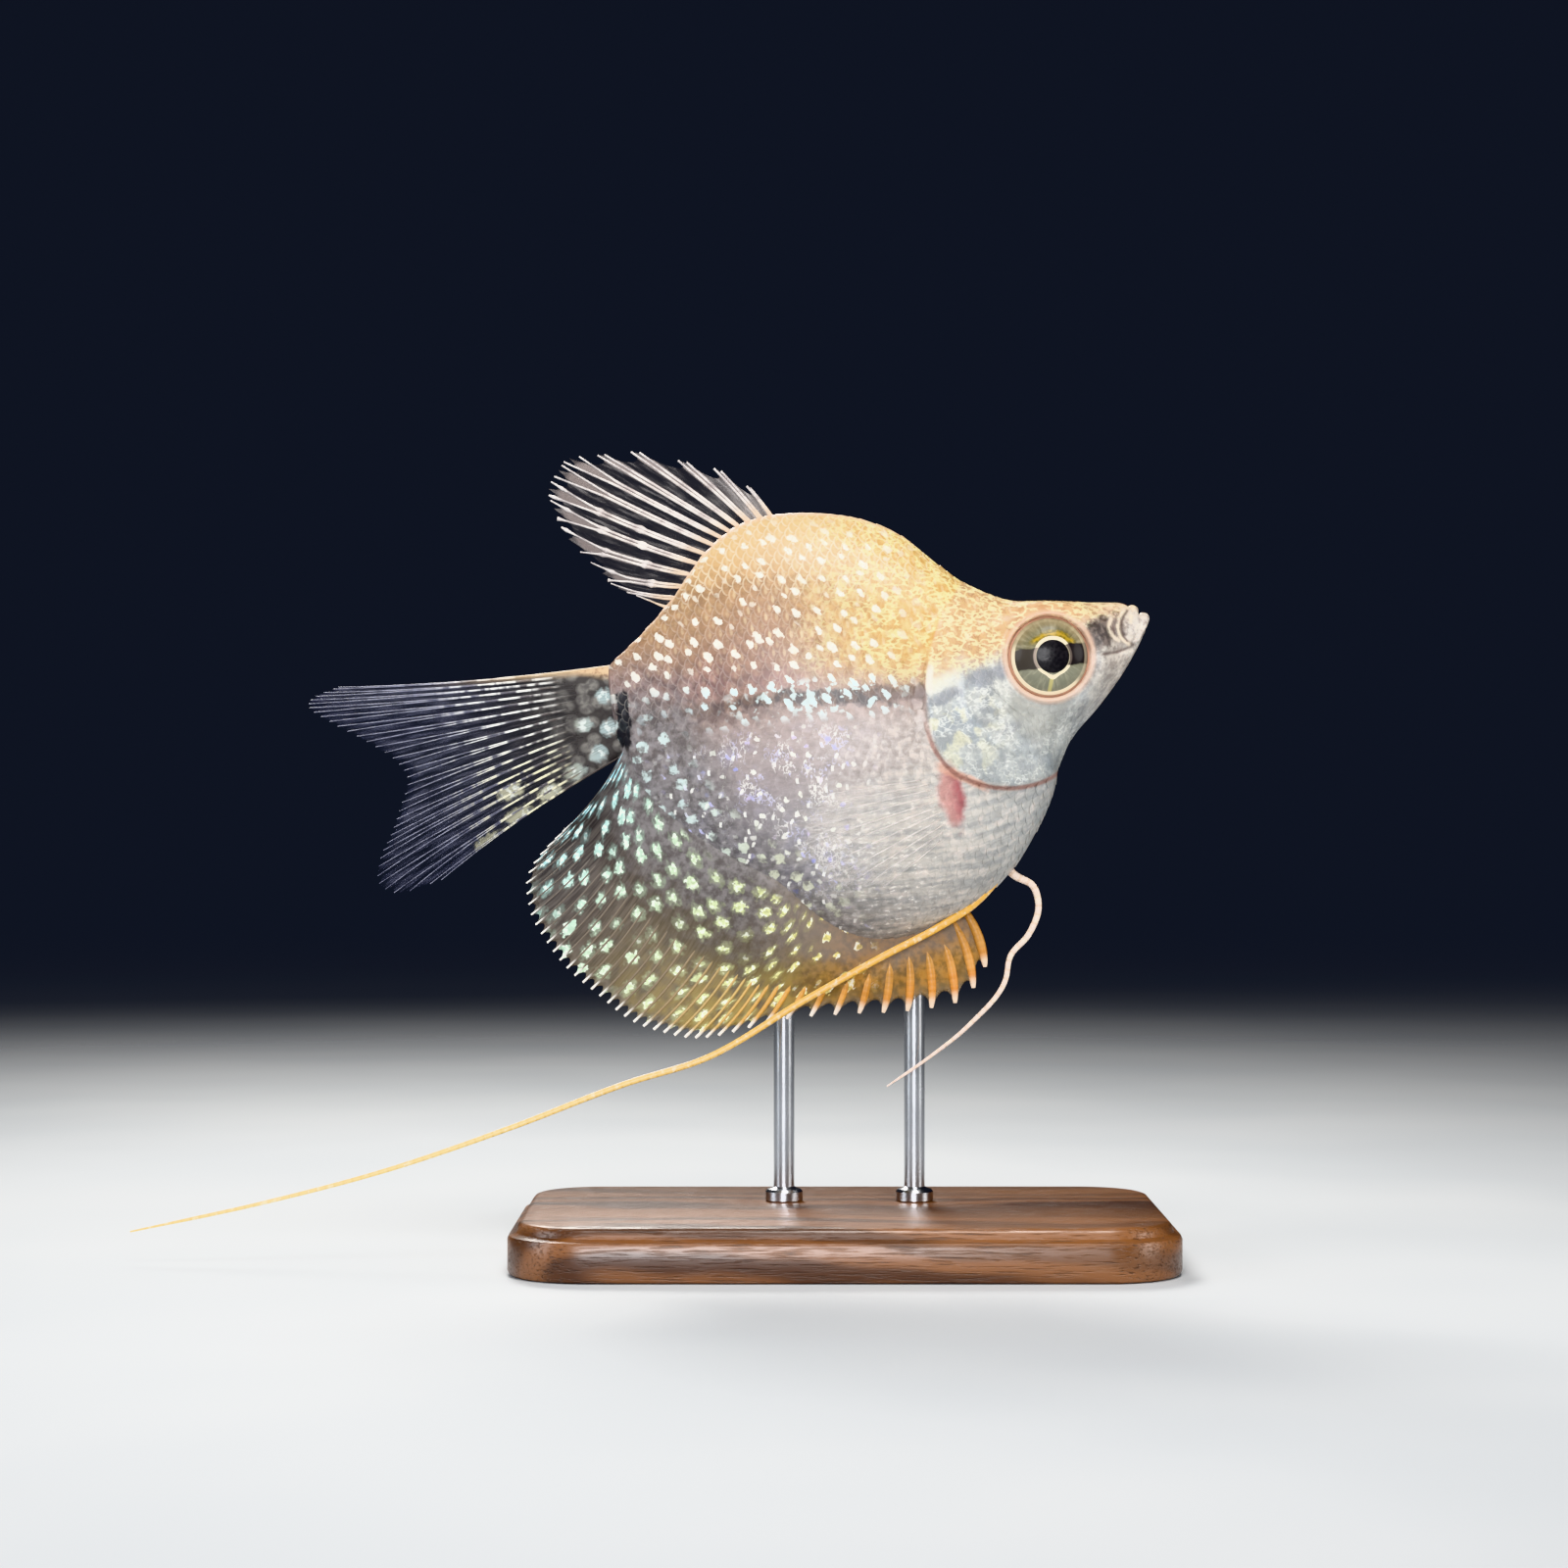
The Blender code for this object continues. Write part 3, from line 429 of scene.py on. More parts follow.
def coordinates(mesh):
    """A mesh's points in millimetres."""
    return read(mesh.vertices, "co") / MM


def srgb(colour):
    """A colour, written as on the web, as the shader takes it."""
    made = []
    for k in (0, 2, 4):
        part = int(colour[k : k + 2], 16) / 255
        made.append(part / 12.92 if part <= 0.04045 else ((part + 0.055) / 1.055) ** 2.4)
    return (*made, 1)


class Tree:
    """Nodes in the making, of a material or of a growth."""

    def feed(self, socket, value):
        value = getattr(value, "socket", value)
        if isinstance(value, bpy.types.NodeSocket):
            self.tree.links.new(value, socket)
        elif isinstance(value, str) and socket.type == "RGBA":
            socket.default_value = srgb(value)
        else:
            socket.default_value = value

    def node(self, kind, values=None, **settings):
        """Any node: its settings are set first, then its sockets. It gives back its outputs."""
        made = self.tree.nodes.new(kind)
        for name, value in settings.items():
            setattr(made, name, value)
        for name, value in (values or {}).items():
            self.feed(made.inputs[name], value)
        return made.outputs


class Number:
    """A number in a material. Sums on it add the nodes that work them out."""

    def __init__(self, finish, socket):
        self.finish = finish
        self.socket = socket

    def math(self, operation, *others):
        return self.finish.math(operation, self, *others)

    def __add__(self, other):
        return self.math("ADD", other)

    def __sub__(self, other):
        return self.math("SUBTRACT", other)

    def __rsub__(self, other):
        return self.finish.math("SUBTRACT", other, self)

    def __mul__(self, other):
        return self.math("MULTIPLY", other)

    def __truediv__(self, other):
        return self.math("DIVIDE", other)

    def __rtruediv__(self, other):
        return self.finish.math("DIVIDE", other, self)

    def __pow__(self, other):
        return self.math("POWER", other)

    def __abs__(self):
        return (self * self) ** 0.5

    __radd__ = __add__
    __rmul__ = __mul__

    def rise(self, low, high, to_low=0, to_high=1):
        """An even ramp between two values. The first may be the higher one."""
        values = {"Value": self, 1: low, 2: high, 3: to_low, 4: to_high}
        made = self.finish.node("ShaderNodeMapRange", values, interpolation_type="SMOOTHSTEP")
        return Number(self.finish, made[0])

    def within(self, low, low_full, high, high_full):
        """High where both of two ramps are: first value to second, and third to fourth."""
        return self.rise(low, low_full) * self.rise(high, high_full)

    def sway(self, width):
        """A number between 0 and 1 made to swing round 0, over this width in all."""
        return (self - 0.5) * width

    def tones(self, low, high, first, second):
        """From one colour to another as the number rises."""
        return self.finish.mix(self.rise(low, high), first, second)


def span(first, second):
    """The length of the way that goes so far along and so far across."""
    return (first * first + second * second) ** 0.5


def most(first, second):
    return first.math("MAXIMUM", second)


def wave(number):
    """An even wave between 0 and 1."""
    return number.math("SINE") * 0.5 + 0.5


class Colour:
    """A colour in a material, over which others can be laid."""

    def __init__(self, finish, socket):
        self.finish = finish
        self.socket = socket

    def lay(self, cover, other):
        self.socket = self.finish.mix(cover, self, other).socket


class Finish(Tree):
    """A material in the making."""

    def __init__(self, name, **plain):
        self.material = bpy.data.materials.new(name)
        self.material.use_nodes = True
        self.tree = self.material.node_tree
        self.shader = self.tree.nodes["Principled BSDF"]
        self.give(**plain)

    def give(self, **values):
        for socket, value in values.items():
            self.feed(self.shader.inputs[socket.replace("_", " ")], value)
        return self.material

    def math(self, operation, *values):
        return Number(self, self.node("ShaderNodeMath", dict(enumerate(values)), operation=operation)[0])

    def mix(self, factor, first, second):
        values = {0: factor, 6: first, 7: second}
        return Colour(self, self.node("ShaderNodeMix", values, data_type="RGBA", clamp_factor=True)[2])

    def ramp(self, value, *stops):
        made = self.tree.nodes.new("ShaderNodeValToRGB")
        self.feed(made.inputs[0], value)
        while len(made.color_ramp.elements) < len(stops):
            made.color_ramp.elements.new(0.5)
        for stop, (place, colour) in zip(made.color_ramp.elements, stops):
            stop.position = place
            stop.color = srgb(colour)
        return Colour(self, made.outputs[0])

    def combine(self, x, y):
        return self.node("ShaderNodeCombineXYZ", {0: x, 1: y})[0]

    def split(self, vector):
        return [Number(self, part) for part in self.node("ShaderNodeSeparateXYZ", {0: vector})]

    def attribute(self, name):
        return self.node("ShaderNodeAttribute", attribute_name=name)["Vector"]

    def amount(self, name):
        return Number(self, self.node("ShaderNodeAttribute", attribute_name=name)["Fac"])

    def place(self):
        """The object's own coordinates in millimetres, as one vector."""
        own = self.node("ShaderNodeTexCoord")["Object"]
        return self.node("ShaderNodeVectorMath", {0: own, "Scale": 1 / MM}, operation="SCALE")[0]

    def noise(self, vector, scale, detail=3, roughness=0.5, stretch=None):
        if stretch:
            vector = self.node("ShaderNodeVectorMath", {0: vector, 1: stretch}, operation="MULTIPLY")[0]
        values = {"Vector": vector, "Scale": scale, "Detail": detail, "Roughness": roughness}
        return Number(self, self.node("ShaderNodeTexNoise", values)["Fac"])

    def cells(self, vector, randomness):
        values = {"Vector": vector, "Scale": 1, "Randomness": randomness}
        return self.node("ShaderNodeTexVoronoi", values, voronoi_dimensions="2D")

    def bump(self, height, depth):
        return self.node("ShaderNodeBump", {"Height": height, "Distance": depth * MM, "Strength": 1})[0]


def spotted(finish, back, down, pitch_back, pitch_down, radius, edge, scatter, rough, flat=1, wide=1):
    """Round spots on a staggered net: their mask, two numbers drawn for each and the distance."""
    p = back * (1 / pitch_back) + down * (1 / pitch_down)
    q = back * (1 / pitch_back) - down * (1 / pitch_down)
    cells = finish.cells(finish.combine(p, q), scatter)
    cell_p, cell_q, _ = finish.split(cells["Position"])
    first, second, _ = finish.split(cells["Color"])
    off_p = p - cell_p
    off_q = q - cell_q
    off_back = (off_p + off_q) * (pitch_back / 2) * wide
    off_down = (off_p - off_q) * (pitch_down / 2) * flat
    away = span(off_back, off_down)
    away += finish.noise(finish.combine(back, down), 2.6, 2).sway(rough)
    mask = (away - radius * (0.6 + first * 0.65)).rise(edge / 2, -edge / 2)
    return mask, first, second, away


def fish_finish(name, scaly):
    """Skin and scales share this one pattern. It is laid out on the flank and in the side view."""
    finish = Finish(
        name, IOR=1.42, Coat_Weight=0.2, Coat_Roughness=0.2, Specular_IOR_Level=0.35,
        Subsurface_Weight=0.1, Subsurface_Radius=(1.2, 0.7, 0.5), Subsurface_Scale=0.5 * MM,
    )
    place = finish.place()
    x, y, z = finish.split(place)
    lie = finish.attribute("lie")
    back, down, _ = finish.split(lie)
    root_back, root_down, _ = finish.split(finish.attribute("root"))
    gill = finish.amount("gill")
    hem_away = finish.amount("hem")
    wide = finish.noise(place, 0.16)
    middle = finish.noise(place, 0.5, 3, 0.6)
    fine = finish.noise(place, 1.5, 3, 0.6)
    clouds = finish.noise(place, 0.7, 3, 0.55)
    worms = abs(finish.noise(place, 1.25, 2, stretch=(1, 1, 1.7)) - 0.5)
    strands = finish.noise(lie, 1.7, 3, 0.65, stretch=(0.8, 2.4, 1))
    soft_down = down + wide.sway(3.5) + middle.sway(1.5)

    # Ground colours from the back down to the belly.
    ground = finish.ramp(
        (soft_down + 14) * (1 / 30),
        (0, "d5b382"), (0.09, "c09d71"), (0.18, "a38262"), (0.3, "9a7b68"), (0.42, "8f746b"),
        (0.5, "907e78"), (0.62, "968a88"), (0.8, "8a8487"), (1, "706b6c"),
    )
    # The shoulder's gold, with painted sheen in pale shining streaks.
    shoulder = x.rise(-6, 4) * soft_down.rise(0.3, -3.5) * x.rise(22, 16)
    shine = most(fine.rise(0.44, 0.7) * 0.45, worms.rise(0.075, 0.03) * clouds.rise(0.38, 0.5))
    ground.lay(shoulder * 0.9, finish.mix(shine, "c69c5d", "fff2ac"))
    rear_back = x.rise(-6, -14) * soft_down.rise(-1, -5) * down.rise(-11.5, -8.5)
    ground.lay(rear_back * 0.5, "987a58")
    belly = (x + down * 0.55).rise(-2.5, 9.5) * down.rise(-0.4, 3)
    grain = finish.noise(lie, 1, stretch=(0.2, 2.2, 1))
    silver = grain.tones(0.34, 0.68, "a2a19d", "c8c1b7")
    upper = (down + middle.sway(5)).rise(8.5, 5) * x.rise(9, 5)
    silver.lay(upper * 0.8, fine.tones(0.35, 0.65, "968a84", "b0a59e"))
    silver.lay(x.rise(8, 15) * 0.5, "949c9e")
    silver.lay(fine.rise(0.5, 0.7) * 0.35, "d6c4b8")
    silver.lay(strands.rise(0.58, 0.68) * down.rise(7, 9.5) * x.rise(10, 4) * 0.8, "f8f3ea")
    ground.lay(belly * 0.88, silver)
    tail = x.rise(-8, -15.5) * down.within(-8, -1, 4, 0.5)
    ground.lay(tail * 0.5, "8c7068")
    plum = down.within(-5.5, -2.5, -0.2, -1.4) * x.rise(0, -6)
    ground.lay(plum * wide.rise(0.35, 0.6) * 0.5, "8c686a")

    # The head: silver and blue-grey below, mottled with pale gold, tan above.
    head = gill.rise(0.05, -0.35)
    head_low = (down + middle.sway(3)).rise(-2.5, -0.3)
    mottle = finish.noise(place, 1.1, 4, 0.65)
    cheek = clouds.tones(0.36, 0.6, "8c8f90", "babbb6")
    cheek.lay(finish.noise(place, 0.45).rise(0.5, 0.62) * 0.5, "8e979f")
    blotch = finish.noise(place, 0.6).rise(0.5, 0.6) * x.rise(13.5, 9) * z.rise(44, 42)
    cheek.lay(blotch * 0.5, "e8e0b2")
    cheek.lay(z.rise(41.5, 38) * 0.4, "9a9f9e")
    foil = abs(finish.noise(place, 1.7, 2, stretch=(1, 1, 1.4)) - 0.5)
    cheek.lay(foil.rise(0.02, 0.1) * 0.25, "7e8284")
    foil = foil.rise(0.055, 0.015) * (middle + clouds.sway(0.4)).rise(0.4, 0.62)
    cheek.lay(foil * 0.45, "eeeee7")
    # Painted highlight: a near-white gleam on the gill cover behind the eye.
    gleam = (x + clouds.sway(5)).rise(9.4, 7) * z.rise(42.6, 44)
    cheek.lay(gleam * 0.8, "fcf8e4")
    crown = mottle.tones(0.38, 0.62, "ac8764", "cca77c")
    crown.lay(worms.rise(0.075, 0.03) * clouds.rise(0.36, 0.46) * 0.9, "fff2bc")
    snout = x.rise(17, 21)
    under_eye = (span(x - 14.6, z - 42) + clouds.sway(3)).rise(3.2, 1.4)
    cheek.lay(under_eye * 0.75, "92928c")
    crown.lay(snout * 0.75, fine.tones(0.38, 0.6, "927c6a", "dac6aa"))
    cheek.lay(snout * 0.6, fine.tones(0.4, 0.6, "9e8c80", "d4c6b8"))
    crown.lay(head_low, cheek)
    ground.lay(head, crown)

    # The dark band, broken behind, and its patches on cheek and snout.
    ragged = finish.noise(place, 1, 3, 0.65) - 0.5
    band = abs(down) + ragged * 1.7 - x.rise(-12, 2, 0.22, 0.5)
    band = band.rise(0.45, -0.15) * x.rise(-17.2, -15.5) * gill.rise(-0.2, 0.2)
    band *= (x + ragged * 8).rise(-14, -4, 0.6, 0.92) * (x + ragged * 5).rise(4.5, 1, 0.55, 1)
    ground.lay(band, "343032")
    for patch_x, patch_z, long, tall, ink in CHEEK_PATCHES:
        patch_up = (z - patch_z - (x - patch_x) * 0.35) * (1 / tall)
        patch = span((x - patch_x) * (1 / long), patch_up) + clouds.sway(1.6)
        ground.lay(patch.rise(1.15, 0.5) * ink, "80838a")
    muzzle = span((x - 19.4) * 0.66, z - 47.7 + (x - 19.4) * -0.25) + ragged * 2
    ground.lay(muzzle.rise(1.6, 0.9) * 0.9, fine.tones(0.4, 0.6, "362f30", "645854"))
    # Painted shade: darker along the creases beside the lip folds and along the jaw line.
    ground.lay(finish.amount("crease_shade") * 0.8, "54423e")
    ground.lay(finish.amount("fold") * mottle.rise(0.36, 0.5) * 0.85, "ecdec8")

    # Pearls, each ringed by a darker net towards the tail.
    pearl, draw, _, away = spotted(
        finish, back + down * 0.25, down, 1.54, 2.7, 0.25, 0.12, 0.6, 0.5, 0.76
    )
    above = down.within(2.2, 0.6, -16, -12) * gill.rise(0.2, 1.2)
    above *= x.rise(6.6, 1, 0.12, 1)
    net = away.rise(0.48, 0.78) * down.within(-7.5, -1.5, 3.2, 1)
    net *= x.within(-1, -11, -16.8, -16)
    ground.lay(net * 0.6, "503c3a")
    halo = away.rise(0.7, 0.45) * above * down.rise(-12, -9)
    ground.lay(halo * 0.32, "806250")
    shown = pearl * above * draw.rise(0.05, 0.3, 0.3, 1) * fine.rise(0.2, 0.5, 0.75, 1)
    ground.lay(shown, down.tones(-3, -0.5, "fffaec", "d6e8e8"))
    flare = finish.noise(place, 1.25).rise(0.56, 0.63)
    flare *= abs(down).rise(1.7, 0.7) * x.within(-11, -5, 5.5, 2.5)
    ground.lay(flare * 0.8, "c8dad8")

    # Painted glints on the lower flank, white, lilac and blue, with curled glint strokes among them, and
    # fin-like spots behind.
    glint, draw, other, _ = spotted(finish, back, down, 1.25, 1.7, 0.16, 0.1, 1, 0.7)
    lower = down.rise(1.5, 3.5) * x.rise(4, -2) * gill.rise(0.3, 1.5)
    glint *= (draw + middle.sway(1.2)).rise(0.5, 0.56)
    tint = finish.ramp(other, (0, "969cd6"), (0.22, "d0bed6"), (0.4, "faf6ee"), (1, "f0f0e2"))
    haze = finish.noise(place, 0.33, 2).rise(0.52, 0.68)
    ground.lay(haze * lower * 0.35, "8c8aa0")
    ground.lay(glint * lower, tint)
    # Painted glints: curled pale strokes where scale edges catch the light.
    curl_glint = abs(finish.noise(place, 1.9, 2, stretch=(1.5, 1, 1)) - 0.5)
    curl_glint = curl_glint.rise(0.05, 0.02) * (middle + wide.sway(0.6)).rise(0.54, 0.6)
    curl_glint *= lower * hem_away.rise(0.5, 2)
    ground.lay(curl_glint * 0.6, clouds.tones(0.45, 0.55, "eeeae4", "c4c2e2"))
    hem = (hem_away - x.rise(-4, -13) * 3.5 + middle.sway(3)).rise(7, 0.5)
    ground.lay(hem * x.rise(8, -3) * 0.85, fine.tones(0.35, 0.65, "585454", "7c7879"))
    spot, draw, _, _ = spotted(finish, back, down, 1.7, 2.7, 0.36, 0.16, 0.6, 0.8)
    spot *= hem_away.rise(5.6, 3.6) * x.rise(3, -3) * draw.rise(0.1, 0.2)
    ground.lay(spot * fine.rise(0.35, 0.5, 0.2, 0.8), x.tones(-4, -13, "ced0b6", "c4d4d0"))
    bar = (abs(x + 16.75 + (z - 41.2) * 0.06) + ragged * 1.1).rise(0.62, 0.4)
    bar *= (z + ragged * 2).within(38.7, 39.5, 43.7, 42.9)
    ground.lay(bar * 0.97, "16151a")

    # The blush at the pectoral's base, the gill's margin and the back's pale rim.
    blush_x = x - 8.1 + (z - 35.3) * 0.16
    blush = span(blush_x, (z - 35.4) * 0.42) + ragged * 0.9
    tint = (blush_x + ragged).tones(-0.5, 0.8, "b0807a", "92424a")
    ground.lay(blush.rise(1.25, 0.6) * 0.9, tint)
    streak = (abs(z - 36.9 + (x - 8.7) * 0.42) + ragged * 0.4).rise(0.5, 0.2)
    streak *= x.within(6.6, 7.4, 11.2, 10.2)
    ground.lay(streak * 0.6, "d6a088")
    margin = abs(gill - 0.14).rise(0.26, 0.06) * z.rise(42.5, 38.5) * x.rise(19, 17.5)
    ground.lay(margin * 0.75, "96685c")
    streak = (gill + ragged * 0.6).rise(-0.75, -0.45) * gill.rise(0, -0.2)
    streak *= z.within(42.8, 43.6, 45.6, 44.6)
    ground.lay(streak * 0.75, "faf4e6")
    # A pinkish-tan skin ring round the eye, painted lighter to fill the shade in the crease at the
    # eyeball's edge.
    ring = span(x - EYE_CENTRE[0], z - EYE_CENTRE[1])
    ground.lay(ring.rise(3.75, 3.3) * 0.6, "e2bea6")
    ground.lay(abs(y).rise(1, 0.3) * down.rise(-5, -9) * 0.8, "eec8a8")

    # Each scale has its own tone, and painted highlights: a glint, a lit free edge, glint strokes and a
    # lit hatch along the back.
    tone_cell = finish.combine(root_back * (1 / 0.8) + root_down * 0.31, root_down * (1 / 0.7))
    drawn = finish.node("ShaderNodeTexWhiteNoise", {"Vector": tone_cell}, noise_dimensions="2D")
    draw_first, draw_second, _ = finish.split(drawn["Color"])
    tone = Number(finish, drawn["Value"])
    value = 0.9 + tone * 0.14 + fine.sway(0.6 - head * 0.35) + strands.sway(0.55 - head * 0.4)
    if scaly:
        size = finish.amount("size")
        off_back = (back - root_back) / size
        off_down = (down - root_down) / size
        reach = span((off_back - 0.1) * (1 / 0.62), off_down * (1 / 0.76))
        edge = reach.rise(0.74, 0.95) * off_back.rise(-0.1, 0.15)
        # Painted highlight on each scale's free edge, stronger along the back.
        lit = finish.mix(x.rise(-6, 4) * down.rise(0, -2.5), "e2d8cc", "ffe8a4")
        ground.lay(edge * down.rise(2, -3, 0.04, 0.15) * hem_away.rise(1, 5), lit)
        # Painted glint strokes on some scales of the lower flank.
        glint_stroke = (draw_first + middle.sway(1.1)).rise(0.78, 0.82)
        glint_stroke *= abs(off_down - draw_second.sway(0.8)).rise(0.26, 0.12)
        glint_stroke *= reach.rise(0.62, 0.72) * off_back.rise(-0.1, 0.15) * lower
        ground.lay(glint_stroke * 0.85, draw_second.tones(0.6, 0.8, "faf8f0", "bab8e2"))
        # Painted glint at each scale's middle, brightest on the upper flank.
        scale_glint = span((off_back - 0.28) * 6, off_down * 2.4).rise(1, 0.4)
        # Painted highlight: a bright hatch of lit scale edges along the top of the back.
        lit_hatch = edge * down.rise(-7.5, -10.5) * x.rise(10, 5) * middle.rise(0.35, 0.6, 0.15, 0.6)
        ground.lay(lit_hatch, "fff2d2")
        scale_glint *= tone.rise(0.25, 0.8) * down.rise(0, -5) * x.rise(-14, 0, 0.35, 1)
        ground.lay(scale_glint * 0.36, "fff0c8")
        relief = wave(reach * 70) * 0.25 + fine * 0.5
        depth = 0.012
    else:
        relief = finish.noise(place, 3.5) + mottle * 0.8
        depth = 0.035
    bright = finish.node("ShaderNodeHueSaturation", {"Value": value, "Color": ground})[0]
    rough = finish.noise(place, 1.4, 2).rise(0.3, 0.7, 0.28, 0.45)
    return finish.give(Base_Color=bright, Roughness=rough, Normal=finish.bump(relief, depth))


def eye_finish():
    """Iris, pupil and rings, drawn by distance and bearing from the eye's middle."""
    finish = Finish("eye", Roughness=0.3, Coat_Weight=0.08, Coat_Roughness=0.06, Specular_IOR_Level=0.12)
    place = finish.place()
    x, _, z = finish.split(place)
    across = x - (EYE_CENTRE[0] + 0.22)
    up = z - EYE_CENTRE[1]
    reach = span(across, up)
    outer = span(across + 0.2, up)
    bearing = up.math("ARCTAN2", across)
    cloud = finish.noise(place, 1.6)
    grain = finish.noise(place, 4, 2)
    spokes = finish.noise(finish.combine(bearing * 9, reach * 1.2), 1, 2)
    iris = cloud.tones(0.3, 0.7, "4c4a39", "6e6952")
    iris.lay(up.rise(0.3, -1.2) * 0.85, "7c7d6e")
    iris.lay(spokes.rise(0.4, 0.75) * 0.3, "b4ae94")
    iris.lay(outer.rise(2, 2.6) * up.rise(0.2, 1.6) * 0.4, "968668")
    crest = span(across, up + 0.25) + cloud.sway(0.45)
    crescent = crest.within(2.35, 2.05, 1.6, 1.8) * up.rise(0.75, 1.25)
    gold = grain.tones(0.4, 0.6, "62561a", "927a22")
    gold.lay(crest.within(1.86, 1.94, 2.1, 2) * 0.7, "ac8c32")
    iris.lay(crescent * 0.85, gold)
    beak = abs(across).rise(0.6, 0) * up.rise(0, -0.8)
    ring_low = beak * 0.14 + 1.27
    ring_high = beak * 0.26 + 1.47 + up.rise(0.6, 1.4) * 0.05
    ring = (reach - ring_low).rise(-0.03, 0.03) * (reach - ring_high).rise(0.04, -0.03)
    iris.lay(ring, "fceecc")
    tick = abs(across + 0.05 + (up + 1.6) * -0.16).rise(0.2, 0.08) * up.rise(-1.6, -1.75)
    iris.lay(tick * up.rise(-2.75, -2.6) * 0.6, "c8bc78")
    bar = abs(up - across * 0.12 + cloud.sway(0.3)).rise(0.88, 0.74)
    iris.lay(bar * reach.rise(1.24, 1.32), across.tones(-0.4, 0.6, "423e3a", "262324"))
    iris.lay(bar * ring * across.rise(1, -1, 0.18, 0.55), "b0a094")
    iris.lay(reach.rise(1.29, 1.21), grain.tones(0.35, 0.65, "1a1a1c", "282729"))
    around = across * -0.45 - up * 0.89
    cream = outer.within(2.6, 2.68, 2.92, 2.84)
    shown = around.rise(0.2, 1.5, 0.18, 1) * up.rise(2.4, 1.2, 0.2, 1)
    iris.lay(cream * shown, "fceece")
    iris.lay(outer.rise(2.86, 2.96), "c49e8a")
    return finish.give(Base_Color=iris, Normal=finish.bump(spokes * reach.rise(2.8, 1.4), 0.015))


def web_finish(name, colour_of, alpha_of):
    """A fin's membrane. The two functions take the finish, ray number, edge distance and run."""
    finish = Finish(name, Roughness=0.45, Specular_IOR_Level=0.22)
    ray, edge, run = finish.split(finish.attribute("fan"))
    fibres = finish.noise(finish.combine(ray * 4, run * 0.4), 1)
    colour, spots = colour_of(finish, ray, edge, run, fibres)
    alpha = alpha_of(finish, ray, edge, run, fibres, spots)
    finish.material.surface_render_method = "DITHERED"
    relief = fibres + finish.noise(finish.place(), 2.5, 2) * 0.4
    return finish.give(Base_Color=colour, Alpha=alpha, Normal=finish.bump(relief, 0.02))


def anal_colour(finish, ray, edge, run, fibres):
    arc = finish.amount("arc")
    place = finish.place()
    mottle = finish.noise(place, 0.8)
    grain = finish.noise(place, 2.4)
    front = (arc + mottle.sway(8)).rise(21, 12)
    dark = fibres.tones(0.35, 0.65, "3a3331", "58504b")
    dark.lay(arc.rise(34, 48) * 0.85, fibres.tones(0.4, 0.62, "101214", "343432"))
    dark.lay(arc.rise(42, 26) * 0.45, "6c624a")
    ochre = arc.rise(37, 22) * edge.rise(8.5, 3) * mottle.rise(0.3, 0.6)
    dark.lay(ochre * 0.75, "968248")
    warm = (grain + mottle).tones(0.8, 1.2, "6c5022", "a07230")
    warm.lay((edge + mottle.sway(2)).rise(2.6, 1) * 0.6, "72644a")
    ground = finish.mix(front, dark, warm)
    flesh = (run + arc.rise(34, 46) * 3 + mottle.sway(5)).rise(8.5, 3.2)
    root_colour = finish.noise(place, 1.5, 3, 0.6).tones(0.35, 0.65, "585454", "7c7879")
    fore = arc.rise(28, 14)
    root_colour.lay(fore, grain.tones(0.35, 0.65, "74624a", "947e5e"))
    belly_side = (run + mottle.sway(2)).rise(6, 4)
    root_colour.lay(fore * belly_side * 0.9, "827b78")
    ground.lay(flesh * arc.rise(8, 26, 0.6, 0.85), root_colour)
    radius = arc.rise(24, 44, 0.27, 0.34)
    spot, draw, _, away = spotted(
        finish, arc - ANAL_SPOT_START, edge - 0.4, ANAL_SPOT_PITCH, 3.1, radius, 0.12, 0.4, 0.95,
        edge.rise(4.5, 1.5, 0.9, 0.56), run / (run + edge) * 0.5 + 0.55,
    )
    kept = arc.rise(9, 15) * draw.rise(0.04, 0.2, 0.3, 1) * run.rise(1, 1.8)
    spot *= kept
    glint = finish.noise(place, 3.4, 2)
    tint = finish.ramp(
        arc * (1 / 55),
        (0.12, "d8b060"), (0.3, "ded486"), (0.48, "ced69e"), (0.7, "b6d6c4"), (0.9, "8acee4"),
    )
    shade = finish.mix(0.45, tint, "464e3e")
    halo = away.rise(0.62, 0.3) * kept * arc.rise(14, 22)
    ground.lay(halo * 0.45, shade)
    tint.lay(glint.rise(0.49, 0.6) * 0.85, "fafef4")
    tint.lay(glint.rise(0.46, 0.38) * 0.8, shade)
    ground.lay(spot, tint)
    hem = (edge + mottle - 0.5).rise(1.5, 0.3) * arc.rise(44, 28, 0.3, 1)
    ground.lay(hem * 0.7 * (1 - spot), "8c8276")
    return ground, most(spot, flesh)


def anal_alpha(finish, ray, edge, run, fibres, spots):
    arc = finish.amount("arc")
    thin = edge.rise(1.6, 0.1) * arc.rise(44, 28, 0.2, 0.4)
    return most(0.94 - thin - edge.rise(3, 0.6) * arc.rise(18, 10) * 0.2, spots * 0.98)


